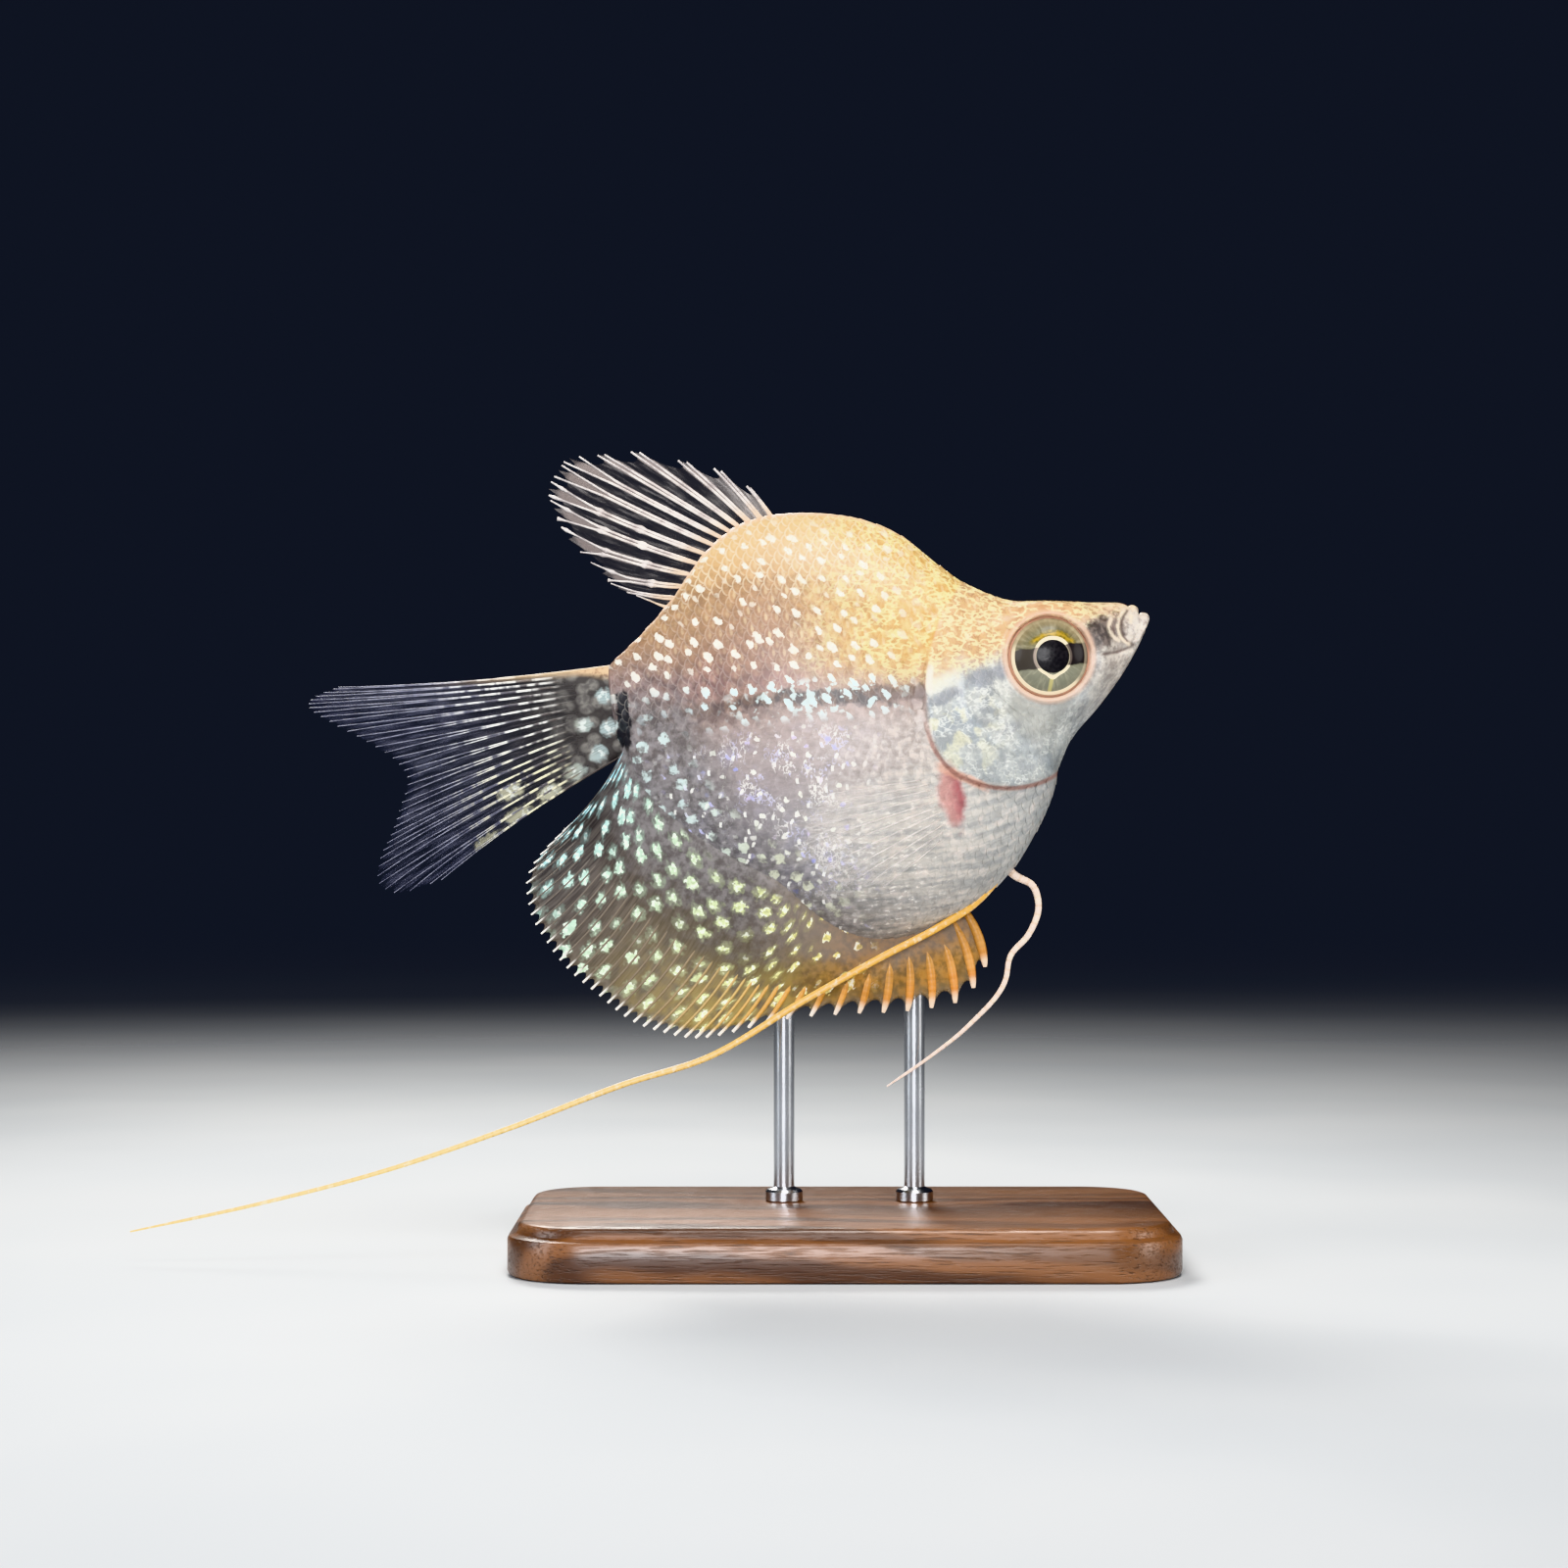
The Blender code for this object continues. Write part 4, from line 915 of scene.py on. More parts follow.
def caudal_colour(finish, ray, edge, run, fibres):
    place = finish.place()
    x, _, z = finish.split(place)
    cloud = finish.noise(place, 0.8)
    grain = finish.noise(place, 2.2)
    ground = fibres.tones(0.4, 0.7, "161518", "383536")
    ground.lay(run.rise(7, 17), fibres.tones(0.35, 0.65, "222430", "4c4e60"))
    base = (run + cloud.sway(4)).rise(9, 3.2)
    stone = finish.cells(finish.combine(x * 0.78 + z * 0.3, z * 0.9 - x * 0.25), 0.8)
    rim = Number(finish, stone["Distance"]) + grain.sway(0.5)
    cobble = grain.tones(0.35, 0.65, "524f4d", "74716c")
    cobble.lay(rim.rise(0.3, 0.56) * 0.85, "2c2828")
    ground.lay(base * 0.92, cobble)
    spots = 0
    for spot_x, spot_z, long in CAUDAL_SPOTS:
        along = ((x - spot_x) * 0.9 + (z - spot_z) * 0.44) * (1 / long)
        across = (z - spot_z) * 0.9 - (x - spot_x) * 0.44
        away = span(along, across) + grain.sway(0.9)
        spots = most(away.rise(0.74, 0.4), spots)
    tint = x.tones(-18, -23, "92a2a2", "9e9c86")
    tint.lay(grain.rise(0.5, 0.62) * 0.6, "ecf2ee")
    ground.lay(spots * fibres.rise(0.3, 0.55, 0.45, 0.9), tint)
    top = (ray + run * 0.06).rise(2, 0.5) * run.rise(18, 5)
    ground.lay(top * 0.9, "a89276")
    corner = (run + ray * 1.1).rise(5.4, 2.6)
    ground.lay(corner * 0.8, grain.tones(0.4, 0.6, "96765c", "d6b892"))
    solid = most(base, most(corner, top * 0.8))
    return ground, most(spots * x.rise(-30, -22, 0.5, 0.9), solid)


def caudal_alpha(finish, ray, edge, run, fibres, spots):
    body = run.rise(18, 5, 0.26, 0.5) + fibres.sway(0.7) - ray.rise(6, 12) * 0.1
    return most(body - edge.rise(1.2, 0) * 0.12, spots * 0.98)


def dorsal_colour(finish, ray, edge, run, fibres):
    """Clear between the rays, and dusky between the two halves of each ray."""
    off = ray.math("PINGPONG", 0.5)
    filled = off.rise(0.24, 0.17) * edge.rise(0.2, 1.2)
    ground = fibres.tones(0.35, 0.7, "787270", "bcb6b4")
    ground.lay(filled, "968a86")
    return ground, most(edge.rise(1.4, 0.2) * 0.18, filled * ray.rise(6, 3, 0.34, 0.6))


def dorsal_alpha(finish, ray, edge, run, fibres, spots):
    front = ray.rise(2.4, 1.2) * run.rise(8, 2) * 0.35
    return most(fibres.rise(0.5, 0.75) * 0.08 + 0.03 + front, spots)


def pectoral_colour(finish, ray, edge, run, fibres):
    ground = fibres.tones(0.4, 0.7, "cec6c0", "ece6e2")
    return ground, edge.rise(0.4, 0)


def pectoral_alpha(finish, ray, edge, run, fibres, spots):
    return 0.06 + fibres.rise(0.45, 0.75) * 0.07 + spots * 0.06


def ray_finish(name, colour_of, joints=0.12, alpha=1):
    """Bony rays, jointed along their length."""
    finish = Finish(name, Roughness=0.4, Coat_Weight=0.15, Coat_Roughness=0.2, Specular_IOR_Level=0.3)
    ray, edge, run = finish.split(finish.attribute("fan"))
    joint = wave(run * 14)
    streak = finish.noise(finish.combine(ray * 3, run * 0.7), 1)
    colour = colour_of(finish, ray, edge, run, streak)
    colour.lay(joint.rise(0.25, 0) * joints, "605246")
    if alpha < 1:
        finish.material.surface_render_method = "DITHERED"
    return finish.give(Base_Color=colour, Alpha=alpha, Normal=finish.bump(joint, 0.015))


def anal_ray_colour(finish, ray, edge, run, streak):
    colour = finish.ramp(
        ray * (1 / 47),
        (0, "c47e3c"), (0.13, "c2823a"), (0.22, "c4944c"), (0.32, "b2965e"), (0.46, "786a56"),
        (0.7, "625a52"), (1, "4c4a48"),
    )
    front = ray.rise(13, 8)
    # Painted highlight in lighter streaks along the stout front rays, and darker orange streaks between
    # them.
    colour.lay(streak.rise(0.45, 0.65) * front * 0.4, "e0ac68")
    colour.lay(streak.rise(0.4, 0.25) * front * 0.6, "96622c")
    colour.lay(run.rise(8.4, 4.8) * front * 0.6, "9e7c42")
    colour.lay(edge.rise(1.1, 0.25) * 0.9, ray.tones(10, 4, "f0eee8", "ecd6be"))
    return colour


def pale_ray_colour(finish, ray, edge, run, streak):
    colour = streak.tones(0.35, 0.65, "aca29e", "eee8e2")
    colour.lay(edge.rise(6, 0.8) * 0.4, "807e84")
    colour.lay(run.rise(3.4, 1) * 0.7, "dec29e")
    return colour


def caudal_ray_colour(finish, ray, edge, run, streak):
    # Painted highlight: lit streaks along the rays in their outer part.
    lit = run.rise(4.5, 8) * (run + streak.sway(14)).rise(17, 10.5)
    colour = run.tones(5, 14, "463f3c", streak.tones(0.35, 0.6, "525466", "808294"))
    colour.lay(lit * streak.rise(0.44, 0.56), ray.tones(8, 14, "f0f0ec", "eae6c4"))
    colour.lay(ray.rise(1.2, 0.4) * run.rise(16, 5) * 0.85, "c4ac8a")
    return colour


def feeler_finish(name, near, far):
    finish = Finish(name, Roughness=0.34, Coat_Weight=0.4, Coat_Roughness=0.2)
    _, _, run = finish.split(finish.attribute("fan"))
    place = finish.place()
    cloud = finish.noise(place, 0.5)
    colour = (run + cloud.sway(14)).tones(6, 46, near, far)
    joint = wave(run * 9)
    colour.lay(joint.rise(0.3, 0) * 0.3, "b08442")
    # Painted highlights: near-white flecks on the feeler.
    colour.lay(finish.noise(place, 2.2, 2).rise(0.56, 0.68) * 0.5, "fff4d8")
    return finish.give(Base_Color=colour, Normal=finish.bump(joint, 0.02))


def walnut_finish():
    """Oiled walnut with its grain along the base, rings and fine pores."""
    finish = Finish("walnut", Coat_Weight=0.25, Coat_Roughness=0.25)
    place = finish.place()
    bend = finish.noise(place, 1, stretch=(0.025, 0.09, 0.09))
    _, y, z = finish.split(place)
    rings = wave(y * 0.9 + z * 1.5 + bend * 26)
    pores = finish.noise(place, 1, stretch=(0.35, 6, 6))
    colour = rings.tones(0.1, 0.9, "442a1c", "744c30")
    colour.lay(bend.rise(0.35, 0.7) * 0.5, "865c3c")
    colour.lay(pores.rise(0.58, 0.72) * 0.7, "2c1b12")
    rough = pores.rise(0.4, 0.7, 0.32, 0.55)
    return finish.give(Base_Color=colour, Roughness=rough, Normal=finish.bump(pores.rise(0.7, 0.5), 0.05))


def steel_finish():
    finish = Finish("steel", Metallic=1)
    cloud = finish.noise(finish.place(), 0.3, 2)
    colour = finish.mix(cloud, "b4b6ba", "c4c6ca")
    return finish.give(Base_Color=colour, Roughness=cloud.rise(0.3, 0.7, 0.22, 0.28))


def ring_turns(u, count):
    """Turns that part the left half of each ring evenly."""
    turns = np.linspace(0, math.pi, RING_TURNS)
    run = lengths_along(body_point(u[:, None], turns[None, :]))
    share = np.linspace(0, 1, count + 1)
    return np.array([np.interp(share * r[-1], r, turns) for r in run])


def skin_mesh():
    u = np.concatenate(
        (np.linspace(0, 4, 57)[:-1], np.linspace(4, 9.5, 141)[:-1], np.linspace(9.5, LAST, 67))
    )
    left = body_point(u[:, None], ring_turns(u, HALF_RING))
    left[:, 1:-1, 1] = shaped(left[:, 1:-1, 0], left[:, 1:-1, 2], left[:, 1:-1, 1])
    right = left[:, -2:0:-1].copy()
    right[..., 1] *= -1
    rings = np.concatenate((left, right), axis=1)
    caps = []
    poles = []
    for ring, dome in ((rings[0], NOSE_DOME), (rings[-1], TAIL_DOME)):
        centre = (ring[0] + ring[HALF_RING]) / 2
        caps.append([centre + (ring - centre) * math.cos(a) + dome * math.sin(a) for a in DOME_ANGLES])
        poles.append(centre + dome)
    rings = np.concatenate((caps[0][::-1], rings, caps[1]))
    count = rings.shape[1]
    points = np.vstack((rings.reshape(-1, 3), *poles))
    faces = ring_faces(len(rings), count)
    nose = len(points) - 2
    last = nose - count
    for j in range(count):
        k = (j + 1) % count
        faces += [(j, k, nose), (last + j, last + k, nose + 1)]
    mesh = outwards(mesh_from("skin", points, faces))
    moved = coordinates(mesh) - read(mesh.vertices, "normal") * SKIN_INSET
    mesh.vertices.foreach_set("co", (moved * MM).ravel())
    return mesh


def mouth_frame():
    corner = np.array((MOUTH_CORNER[0], 0, MOUTH_CORNER[1]))
    rise = np.array((MOUTH_NOTCH[0], 0, MOUTH_NOTCH[1])) - corner
    across = np.array((rise[2], 0, -rise[0])) / np.linalg.norm(rise)
    return corner, rise, across


def lip_line(offset, reach, radius):
    """One lip's middle line round the front of the mouth, and its thickness."""
    corner, rise, across = mouth_frame()
    line = []
    thick = []
    for angle in np.linspace(0, math.pi, LIP_POINTS):
        front = math.sin(angle)
        point = corner + rise * reach * front + across * offset * math.sqrt(front)
        point[1] = MOUTH_HALF_WIDTH * math.cos(angle)
        line.append(point)
        thick.append(LIP_END + (radius - LIP_END) * front**0.8)
    for at, side in ((0, 1), (len(line), -1)):
        buried = corner - across * 1.25
        buried[1] = side * 0.5
        line.insert(at, buried)
        thick.insert(at, LIP_END)
    return np.array(line), np.array(thick)


def slit_mesh():
    """The narrow lens between the lips."""
    corner, rise, across = mouth_frame()
    centre = Vector(corner + rise * 0.74) * MM
    stretch = Matrix.Diagonal((0.72 * np.linalg.norm(rise) * MM, 2 * MM, 0.2 * MM, 1))
    turn = Matrix((Vector(rise).normalized(), Vector((0, 1, 0)), Vector(across))).transposed()
    return ball("slit", 40, 20, Matrix.Translation(centre) @ turn.to_4x4() @ stretch)


class Growth(Tree):
    """A Geometry Nodes tree in the making, with a geometry input and named ones."""

    def __init__(self, name, **inputs):
        self.tree = bpy.data.node_groups.new(name, "GeometryNodeTree")
        face = self.tree.interface
        face.new_socket("Geometry", in_out="INPUT", socket_type="NodeSocketGeometry")
        self.names = {}
        for title, kind in inputs.items():
            made = face.new_socket(title, in_out="INPUT", socket_type=f"NodeSocket{kind}")
            self.names[title] = made.identifier
        face.new_socket("Geometry", in_out="OUTPUT", socket_type="NodeSocketGeometry")
        self.start = self.node("NodeGroupInput")

    def named(self, name, kind="FLOAT_VECTOR"):
        return self.node("GeometryNodeInputNamedAttribute", {"Name": name}, data_type=kind)["Attribute"]

    def add(self, first, second):
        return self.node("ShaderNodeVectorMath", {0: first, 1: second}, operation="ADD")[0]

    def stretch(self, vector, number):
        return self.node("ShaderNodeVectorMath", {0: vector, "Scale": number}, operation="SCALE")[0]

    def times(self, first, second):
        return self.node("ShaderNodeMath", {0: first, 1: second}, operation="MULTIPLY")[0]

    def real(self, geometry):
        return self.node("GeometryNodeRealizeInstances", {"Geometry": geometry})[0]

    def store(self, geometry, name, value, kind, domain):
        values = {"Geometry": geometry, "Name": name, "Value": value}
        return self.node("GeometryNodeStoreNamedAttribute", values, data_type=kind, domain=domain)[0]

    def end(self, geometry):
        """Set the finish last, and close the tree."""
        values = {"Geometry": geometry, "Material": self.start["Finish"]}
        painted = self.node("GeometryNodeSetMaterial", values)[0]
        self.feed(self.tree.nodes.new("NodeGroupOutput").inputs[0], painted)
        return self


def tube_growth():
    """Round tubes along the lines of a wire, as thick as its points say."""
    grow = Growth("tubes_along_lines", Sides="Int", Finish="Material")
    lines = grow.node("GeometryNodeMeshToCurve", {"Mesh": grow.start["Geometry"]})[0]
    values = {"Resolution": grow.start["Sides"], "Radius": 1}
    ring = grow.node("GeometryNodeCurvePrimitiveCircle", values, mode="RADIUS")[0]
    thick = grow.named("thick", "FLOAT")
    values = {"Curve": lines, "Profile Curve": ring, "Scale": thick, "Fill Caps": True}
    tubes = grow.node("GeometryNodeCurveToMesh", values)[0]
    smooth = grow.node("GeometryNodeSetShadeSmooth", {0: tubes, "Shade Smooth": True})[0]
    return grow.end(grow.real(smooth))


def scale_growth():
    """A vane at each place, turned with the lie, then laid on the skin at its own height."""
    grow = Growth(
        "scales_on_skin", Vane="Object", Skin="Object", Twist="Float", Lift="Float", Seed="Int",
        Finish="Material",
    )
    node, named, start = grow.node, grow.named, grow.start
    vane, skin = (
        node("GeometryNodeObjectInfo", {"Object": start[title]})["Geometry"] for title in ("Vane", "Skin")
    )
    axes = {"primary_axis": "Z", "secondary_axis": "X"}
    turn = node("FunctionNodeAxesToRotation", {0: named("outward"), 1: named("backward")}, **axes)[0]
    values = {"Seed": start["Seed"], 2: grow.times(start["Twist"], -1), 3: start["Twist"]}
    twist = node("FunctionNodeRandomValue", values, data_type="FLOAT")[1]
    yaw = node("FunctionNodeAxisAngleToRotation", {"Axis": (0, 0, 1), "Angle": twist})[0]
    turned = node("FunctionNodeRotateRotation", {0: turn, 1: yaw}, rotation_space="LOCAL")[0]
    size = named("size", "FLOAT")
    values = {"Points": start["Geometry"], "Instance": vane, "Rotation": turned, "Scale": size}
    placed = grow.real(node("GeometryNodeInstanceOnPoints", values)[0])
    lie = grow.add(named("root"), grow.stretch(named("local"), size))
    placed = grow.store(placed, "lie", lie, "FLOAT_VECTOR", "POINT")
    nearest = []
    for kind in ("GeometryNodeInputPosition", "GeometryNodeInputNormal"):
        values = {"Mesh": skin, "Value": node(kind)[0]}
        nearest += node("GeometryNodeSampleNearestSurface", values, data_type="FLOAT_VECTOR")[:1]
    where, normal = nearest
    lift = grow.stretch(normal, grow.times(named("height", "FLOAT"), start["Lift"]))
    laid = node("GeometryNodeSetPosition", {"Geometry": placed, "Position": grow.add(where, lift)})[0]
    patch = grow.add(named("unwrap"), named("patch"))
    return grow.end(grow.store(laid, "OFBake", patch, "FLOAT2", "CORNER"))


TUBES = tube_growth()
SCALES = scale_growth()


def grown(mesh, growth, **values):
    """A mesh put through a growth whose named inputs have these values, as a plain mesh."""
    carrier = add("carrier", mesh)
    step = carrier.modifiers.new("growth", "NODES")
    step.node_group = growth.tree
    for title, value in values.items():
        step[growth.names[title]] = value
    return evaluated(carrier)


def tubes(lines, sides, finish):
    """One mesh of tubes. Each line is its points, half thicknesses and places in the fan."""
    points, thick, fan = (np.concatenate(given) for given in zip(*lines))
    edges = []
    start = 0
    for line in lines:
        edges += [(k, k + 1) for k in range(start, start + len(line[0]) - 1)]
        start += len(line[0])
    mesh = mesh_from("tubes", points, [], edges)
    set_attribute(mesh, "thick", thick * MM)
    set_attribute(mesh, "fan", fan)
    return grown(mesh, TUBES, Sides=sides, Finish=finish)


VANE_ROWS = (-0.55, -0.2, 0.15, 0.4, 0.57, 0.68)
VANE_HALF_WIDTHS = (0.4, 0.66, 0.76, 0.665, 0.495, 0.27)
VANE_TIP = 0.72
VANE_LENGTH = 1.3
VANE_WIDTH = 1.55
VANE_THICKNESS = 0.03
VANE_HEIGHTS = (0.01, 0.1)


def vane_height(along, across):
    """How far a scale's upper face stands above the skin."""
    share = (along - VANE_ROWS[0]) / (VANE_TIP - VANE_ROWS[0])
    return between(VANE_HEIGHTS, share) - 0.03 * (across / 0.76) ** 2


def vane_mesh():
    """One scale, lying back along +X: a rounded vane with a thin edge."""
    upper = []
    for along, half in zip(VANE_ROWS, VANE_HALF_WIDTHS):
        upper += [(along, half * share) for share in (-1, -0.5, 0, 0.5, 1)]
    tip = len(upper)
    last = tip - 5
    upper.append((VANE_TIP, 0))
    faces = [(a, a + 5, a + 6, a + 1) for row in range(0, last, 5) for a in range(row, row + 4)]
    faces += [(a, tip, a + 1) for a in range(last, tip - 1)]
    rim = [*range(0, tip, 5), tip, *range(tip - 1, 0, -5), 3, 2, 1]
    points = [(a, b, vane_height(a, b)) for a, b in upper]
    lower = [len(points) + k for k in range(len(rim))]
    points += [(a, b, top - VANE_THICKNESS) for a, b, top in (points[k] for k in rim)]
    for k in range(len(rim)):
        n = (k + 1) % len(rim)
        faces.append((rim[n], rim[k], lower[k], lower[n]))
    faces.append(tuple(lower))
    mesh = rounded(outwards(mesh_from("vane", points, faces)), 50)
    along, across, height = coordinates(mesh).T
    set_attribute(mesh, "local", vectors(along, -across, 0))
    set_attribute(mesh, "height", height * MM)
    set_attribute(mesh, "patch", vectors(along / VANE_LENGTH * PATCH, -across / VANE_WIDTH * PATCH, 0))
    return mesh


def scale_places(pitch, keep):
    """Where the left flank's scales grow: a staggered net counted along the lie."""
    found = []
    for row in range(math.ceil(DOWN.min() / pitch[1]), math.floor(DOWN.max() / pitch[1]) + 1):
        down = row * pitch[1]
        stations = np.flatnonzero((DOWN[:, 0] + ROW_MARGIN < down) & (down < DOWN[:, -1] - ROW_MARGIN))
        if len(stations) < ROW_STATIONS:
            continue
        turn = np.array([np.interp(down, DOWN[i], TABLE_TURN) for i in stations])
        u = TABLE_U[stations]
        back = sampled(BACK, u, turn)
        shift = 0.5 * (row % 2)
        first = math.ceil(back.min() / pitch[0] - shift)
        final = math.floor(back.max() / pitch[0] - shift)
        at = (np.arange(first, final + 1) + shift) * pitch[0]
        order = np.argsort(back)
        u_at = np.interp(at, back[order], u[order])
        turn_at = np.interp(at, back[order], turn[order])
        gap = np.abs(sampled(DOWN, u_at, turn_at) - down)
        found += [(u_at[k], turn_at[k], at[k], down) for k in np.flatnonzero(gap < ROW_STRAY)]
    u, turn, back, down = np.array(found).T
    points = body_point(u, turn)
    kept = keep(points[:, 0], points[:, 2])
    return u[kept], turn[kept], back[kept], down[kept]


def scale_object(name, side, vane, skin, finish, pitch, keep, size, lift):
    u, turn, back, down = scale_places(pitch, keep)
    points = body_point(u, turn)
    step = 0.01
    along_u = body_point(np.minimum(u + step, LAST), turn) - body_point(np.maximum(u - step, 0), turn)
    ends = np.minimum(turn + step, math.pi), np.maximum(turn - step, 0)
    along_turn = body_point(u, ends[0]) - body_point(u, ends[1])
    outward = unit(np.cross(along_u, along_turn))
    outward[outward[:, 1] < 0] *= -1
    band_x, band_z = BAND_LINE.T
    slope = np.interp(points[:, 0], band_x[:-1], np.gradient(band_z, band_x)[:-1])
    backward = vectors(-1.0, 0, -slope)
    backward = unit(backward - outward * np.sum(backward * outward, axis=1, keepdims=True))
    for placed in (points, outward, backward):
        placed[:, 1] *= side
    mesh = mesh_from(name, points, [])
    set_attribute(mesh, "outward", outward)
    set_attribute(mesh, "backward", backward)
    set_attribute(mesh, "root", vectors(back, down, 0))
    middle = 0.25 if side < 0 else 0.75
    along = middle + (back + UNWRAP_SHIFT) * UNWRAP_PER_MM
    unwrap = vectors(along, 0.5 + down * UNWRAP_PER_MM, 0)
    set_attribute(mesh, "unwrap", unwrap)
    set_attribute(mesh, "size", size(points[:, 0], points[:, 2]))
    made = grown(
        mesh, SCALES, Vane=vane, Skin=skin, Twist=SCALE_TWIST, Lift=lift, Seed=SCALE_SEED, Finish=finish
    )
    if side < 0:
        mirror_lie(made)
    mark_fish(made)
    return add(name, made)


def mirror_lie(mesh):
    """On the right flank a vane's own left points down, so its places in the lie swap sides."""
    lie, root = (read(mesh.attributes[name].data, "vector") for name in ("lie", "root"))
    lie[:, 1] = 2 * root[:, 1] - lie[:, 1]
    mesh.attributes["lie"].data.foreach_set("vector", lie.ravel())


HEM_LINE = section(np.linspace(*ANAL_STATIONS, 40))[:, 2:4]
SNOUT_FOLDS = (curve_through(LIP_FOLD, 20), curve_through(SECOND_FOLD, 16), curve_through(LIP_BACK, 16))
SNOUT_CREASES = (SNOUT_FOLDS[0] + (0.3, 0), SNOUT_FOLDS[1] + (0.28, 0), curve_through(JAW_LINE, 10))


def near_lines(x, z, lines, half):
    """1 along any of the lines and 0 beyond their half width."""
    return np.max([bell(line_distance(x, z, line), 0, half) for line in lines], axis=0)


def mark_fish(mesh):
    """What the fish's pattern reads: the ways to the gill's edge and the anal fin, the folds, and the
    creases where shade is painted.
    """
    x, _, z = coordinates(mesh).T
    set_attribute(mesh, "gill", gill_distance(x, z))
    set_attribute(mesh, "hem", line_distance(x, z, HEM_LINE))
    set_attribute(mesh, "fold", near_lines(x, z, SNOUT_FOLDS, 0.14))
    set_attribute(mesh, "crease_shade", near_lines(x, z, SNOUT_CREASES, 0.13))


def mark_lie(mesh):
    """The skin's own places in the lie, and the root of the scale that each belongs to."""
    x, _, z = coordinates(mesh).T
    u, turn = place_of(x, z)
    back = sampled(BACK, u, turn)
    down = sampled(DOWN, u, turn)
    set_attribute(mesh, "lie", vectors(back, down, 0))
    row = np.round(down / SCALE_PITCH[1])
    shift = 0.5 * (row % 2)
    root = (np.round(back / SCALE_PITCH[0] - shift) + shift) * SCALE_PITCH[0]
    set_attribute(mesh, "root", vectors(root, row * SCALE_PITCH[1], 0))


def bezier(root, tip, bow, t):
    """Places along rays that bow to one side."""
    along = tip - root
    middle = (root + tip) / 2 + vectors(along[..., 2], 0, -along[..., 0]) * bow[..., None]
    t = t[..., None]
    return root * (1 - t) ** 2 + middle * 2 * t * (1 - t) + tip * t * t


def side_view(values):
    """Points of the middle plane from x and z."""
    return vectors(values[..., 0], 0, values[..., 1])


def table_at(table, share):
    table = np.asarray(table)
    return side_view(spline(table[:, 0], table[:, 1:], share))


EDGE_SHARES = np.linspace(0, 1, 1001)


def edge_run(tips, share):
    """How far along a fin's edge the rays end."""
    return np.interp(share, EDGE_SHARES, lengths_along(table_at(tips, EDGE_SHARES)))


def places_along(tips, gaps):
    """Shares at which rays end, with their gaps along the edge in these proportions."""
    run = edge_run(tips, EDGE_SHARES)
    at = np.concatenate(([0], np.cumsum(gaps)))
    return np.interp(at / at[-1] * run[-1], run, EDGE_SHARES)


# Each fin's edge: the share of the way along it, x and z.
ANAL_TIPS = (
    (0, 10.9, 22.3), (0.06, 9.15, 19.8), (0.12, 5.4, 19), (0.21, 0.2, 18.7), (0.3, -5.25, 18.15),
    (0.36, -10.1, 16.95), (0.45, -14.4, 17.5), (0.61, -18.9, 20.3), (0.76, -22.3, 23.7),
    (0.85, -24, 26.9), (0.92, -23.85, 29.9), (0.97, -21.7, 32.4), (1, -19.6, 34.3),
)
DORSAL_TIPS = (
    (0, -7.1, 58.95), (0.08, -9.5, 60.3), (0.17, -12.4, 61), (0.25, -15.9, 61.7), (0.33, -18.4, 61.5),
    (0.42, -21, 61.2), (0.5, -21.75, 60.3), (0.58, -22.5, 58.95), (0.67, -22.1, 57.3),
    (0.75, -21, 55.05), (0.83, -18.5, 52.5), (0.92, -17.25, 51.3), (1, -14.85, 50.4),
)
CAUDAL_TIPS = (
    (0, -38.6, 43.7), (0.08, -40.5, 42.9), (0.15, -40.8, 42.15), (0.25, -39, 40.9), (0.35, -36.4, 39.5),
    (0.45, -34.1, 37.95), (0.52, -33.3, 36.7), (0.6, -33.75, 34.8), (0.7, -34.5, 32.55),
    (0.8, -35.4, 30.45), (0.88, -35.4, 28.6), (0.95, -33.6, 28), (1, -30.75, 28.95),
)
PECTORAL_TIPS = (
    (0, -1.2, 35.6), (0.25, -2.9, 33.4), (0.5, -2.6, 30.9), (0.75, -0.6, 28.9), (1, 3, 28.6),
)
# Pale spots at the tail fin's base and along its lower edge: x, z and length over width.
CAUDAL_SPOTS = (
    (-18.3, 43, 1), (-19.8, 40.8, 1.1), (-17.9, 40.6, 1.1), (-18.7, 38.7, 1.2), (-20.5, 37.2, 1.4),
    (-22.4, 35.7, 1.6), (-24.8, 33.9, 2), (-25.4, 35.7, 1.8), (-27, 31.9, 2.2),
)
CAUDAL_ROOTS = np.array(((-16.6, 0, 45.45), (-15.6, 0, 39.2)))
PECTORAL_ROOTS = np.array(((8.5, 37), (9.5, 33.7)))
PECTORAL_SPLAY = math.radians(24)
PECTORAL_CUP = 0.1
WEB_BETWEEN = 8
WEB_ALONG = 26
RAY_STEPS = 30
RAY_SIDES = 8


def edge_root(stations, from_back, sunk):
    """Roots sunk below the back's or the belly's ridge between two stations."""

    def root(share):
        row = section(between(stations, share))
        near, far = side_view(row[..., 0:2]), side_view(row[..., 2:4])
        if not from_back:
            near, far = far, near
        return near + unit(far - near) * sunk

    return root


def caudal_root(share):
    return between(CAUDAL_ROOTS, share[..., None])


def pectoral_root(share):
    x, z = np.moveaxis(between(PECTORAL_ROOTS, share[..., None]), -1, 0)
    return vectors(x, body_point(*place_of(x, z))[..., 1] - 0.78, z)


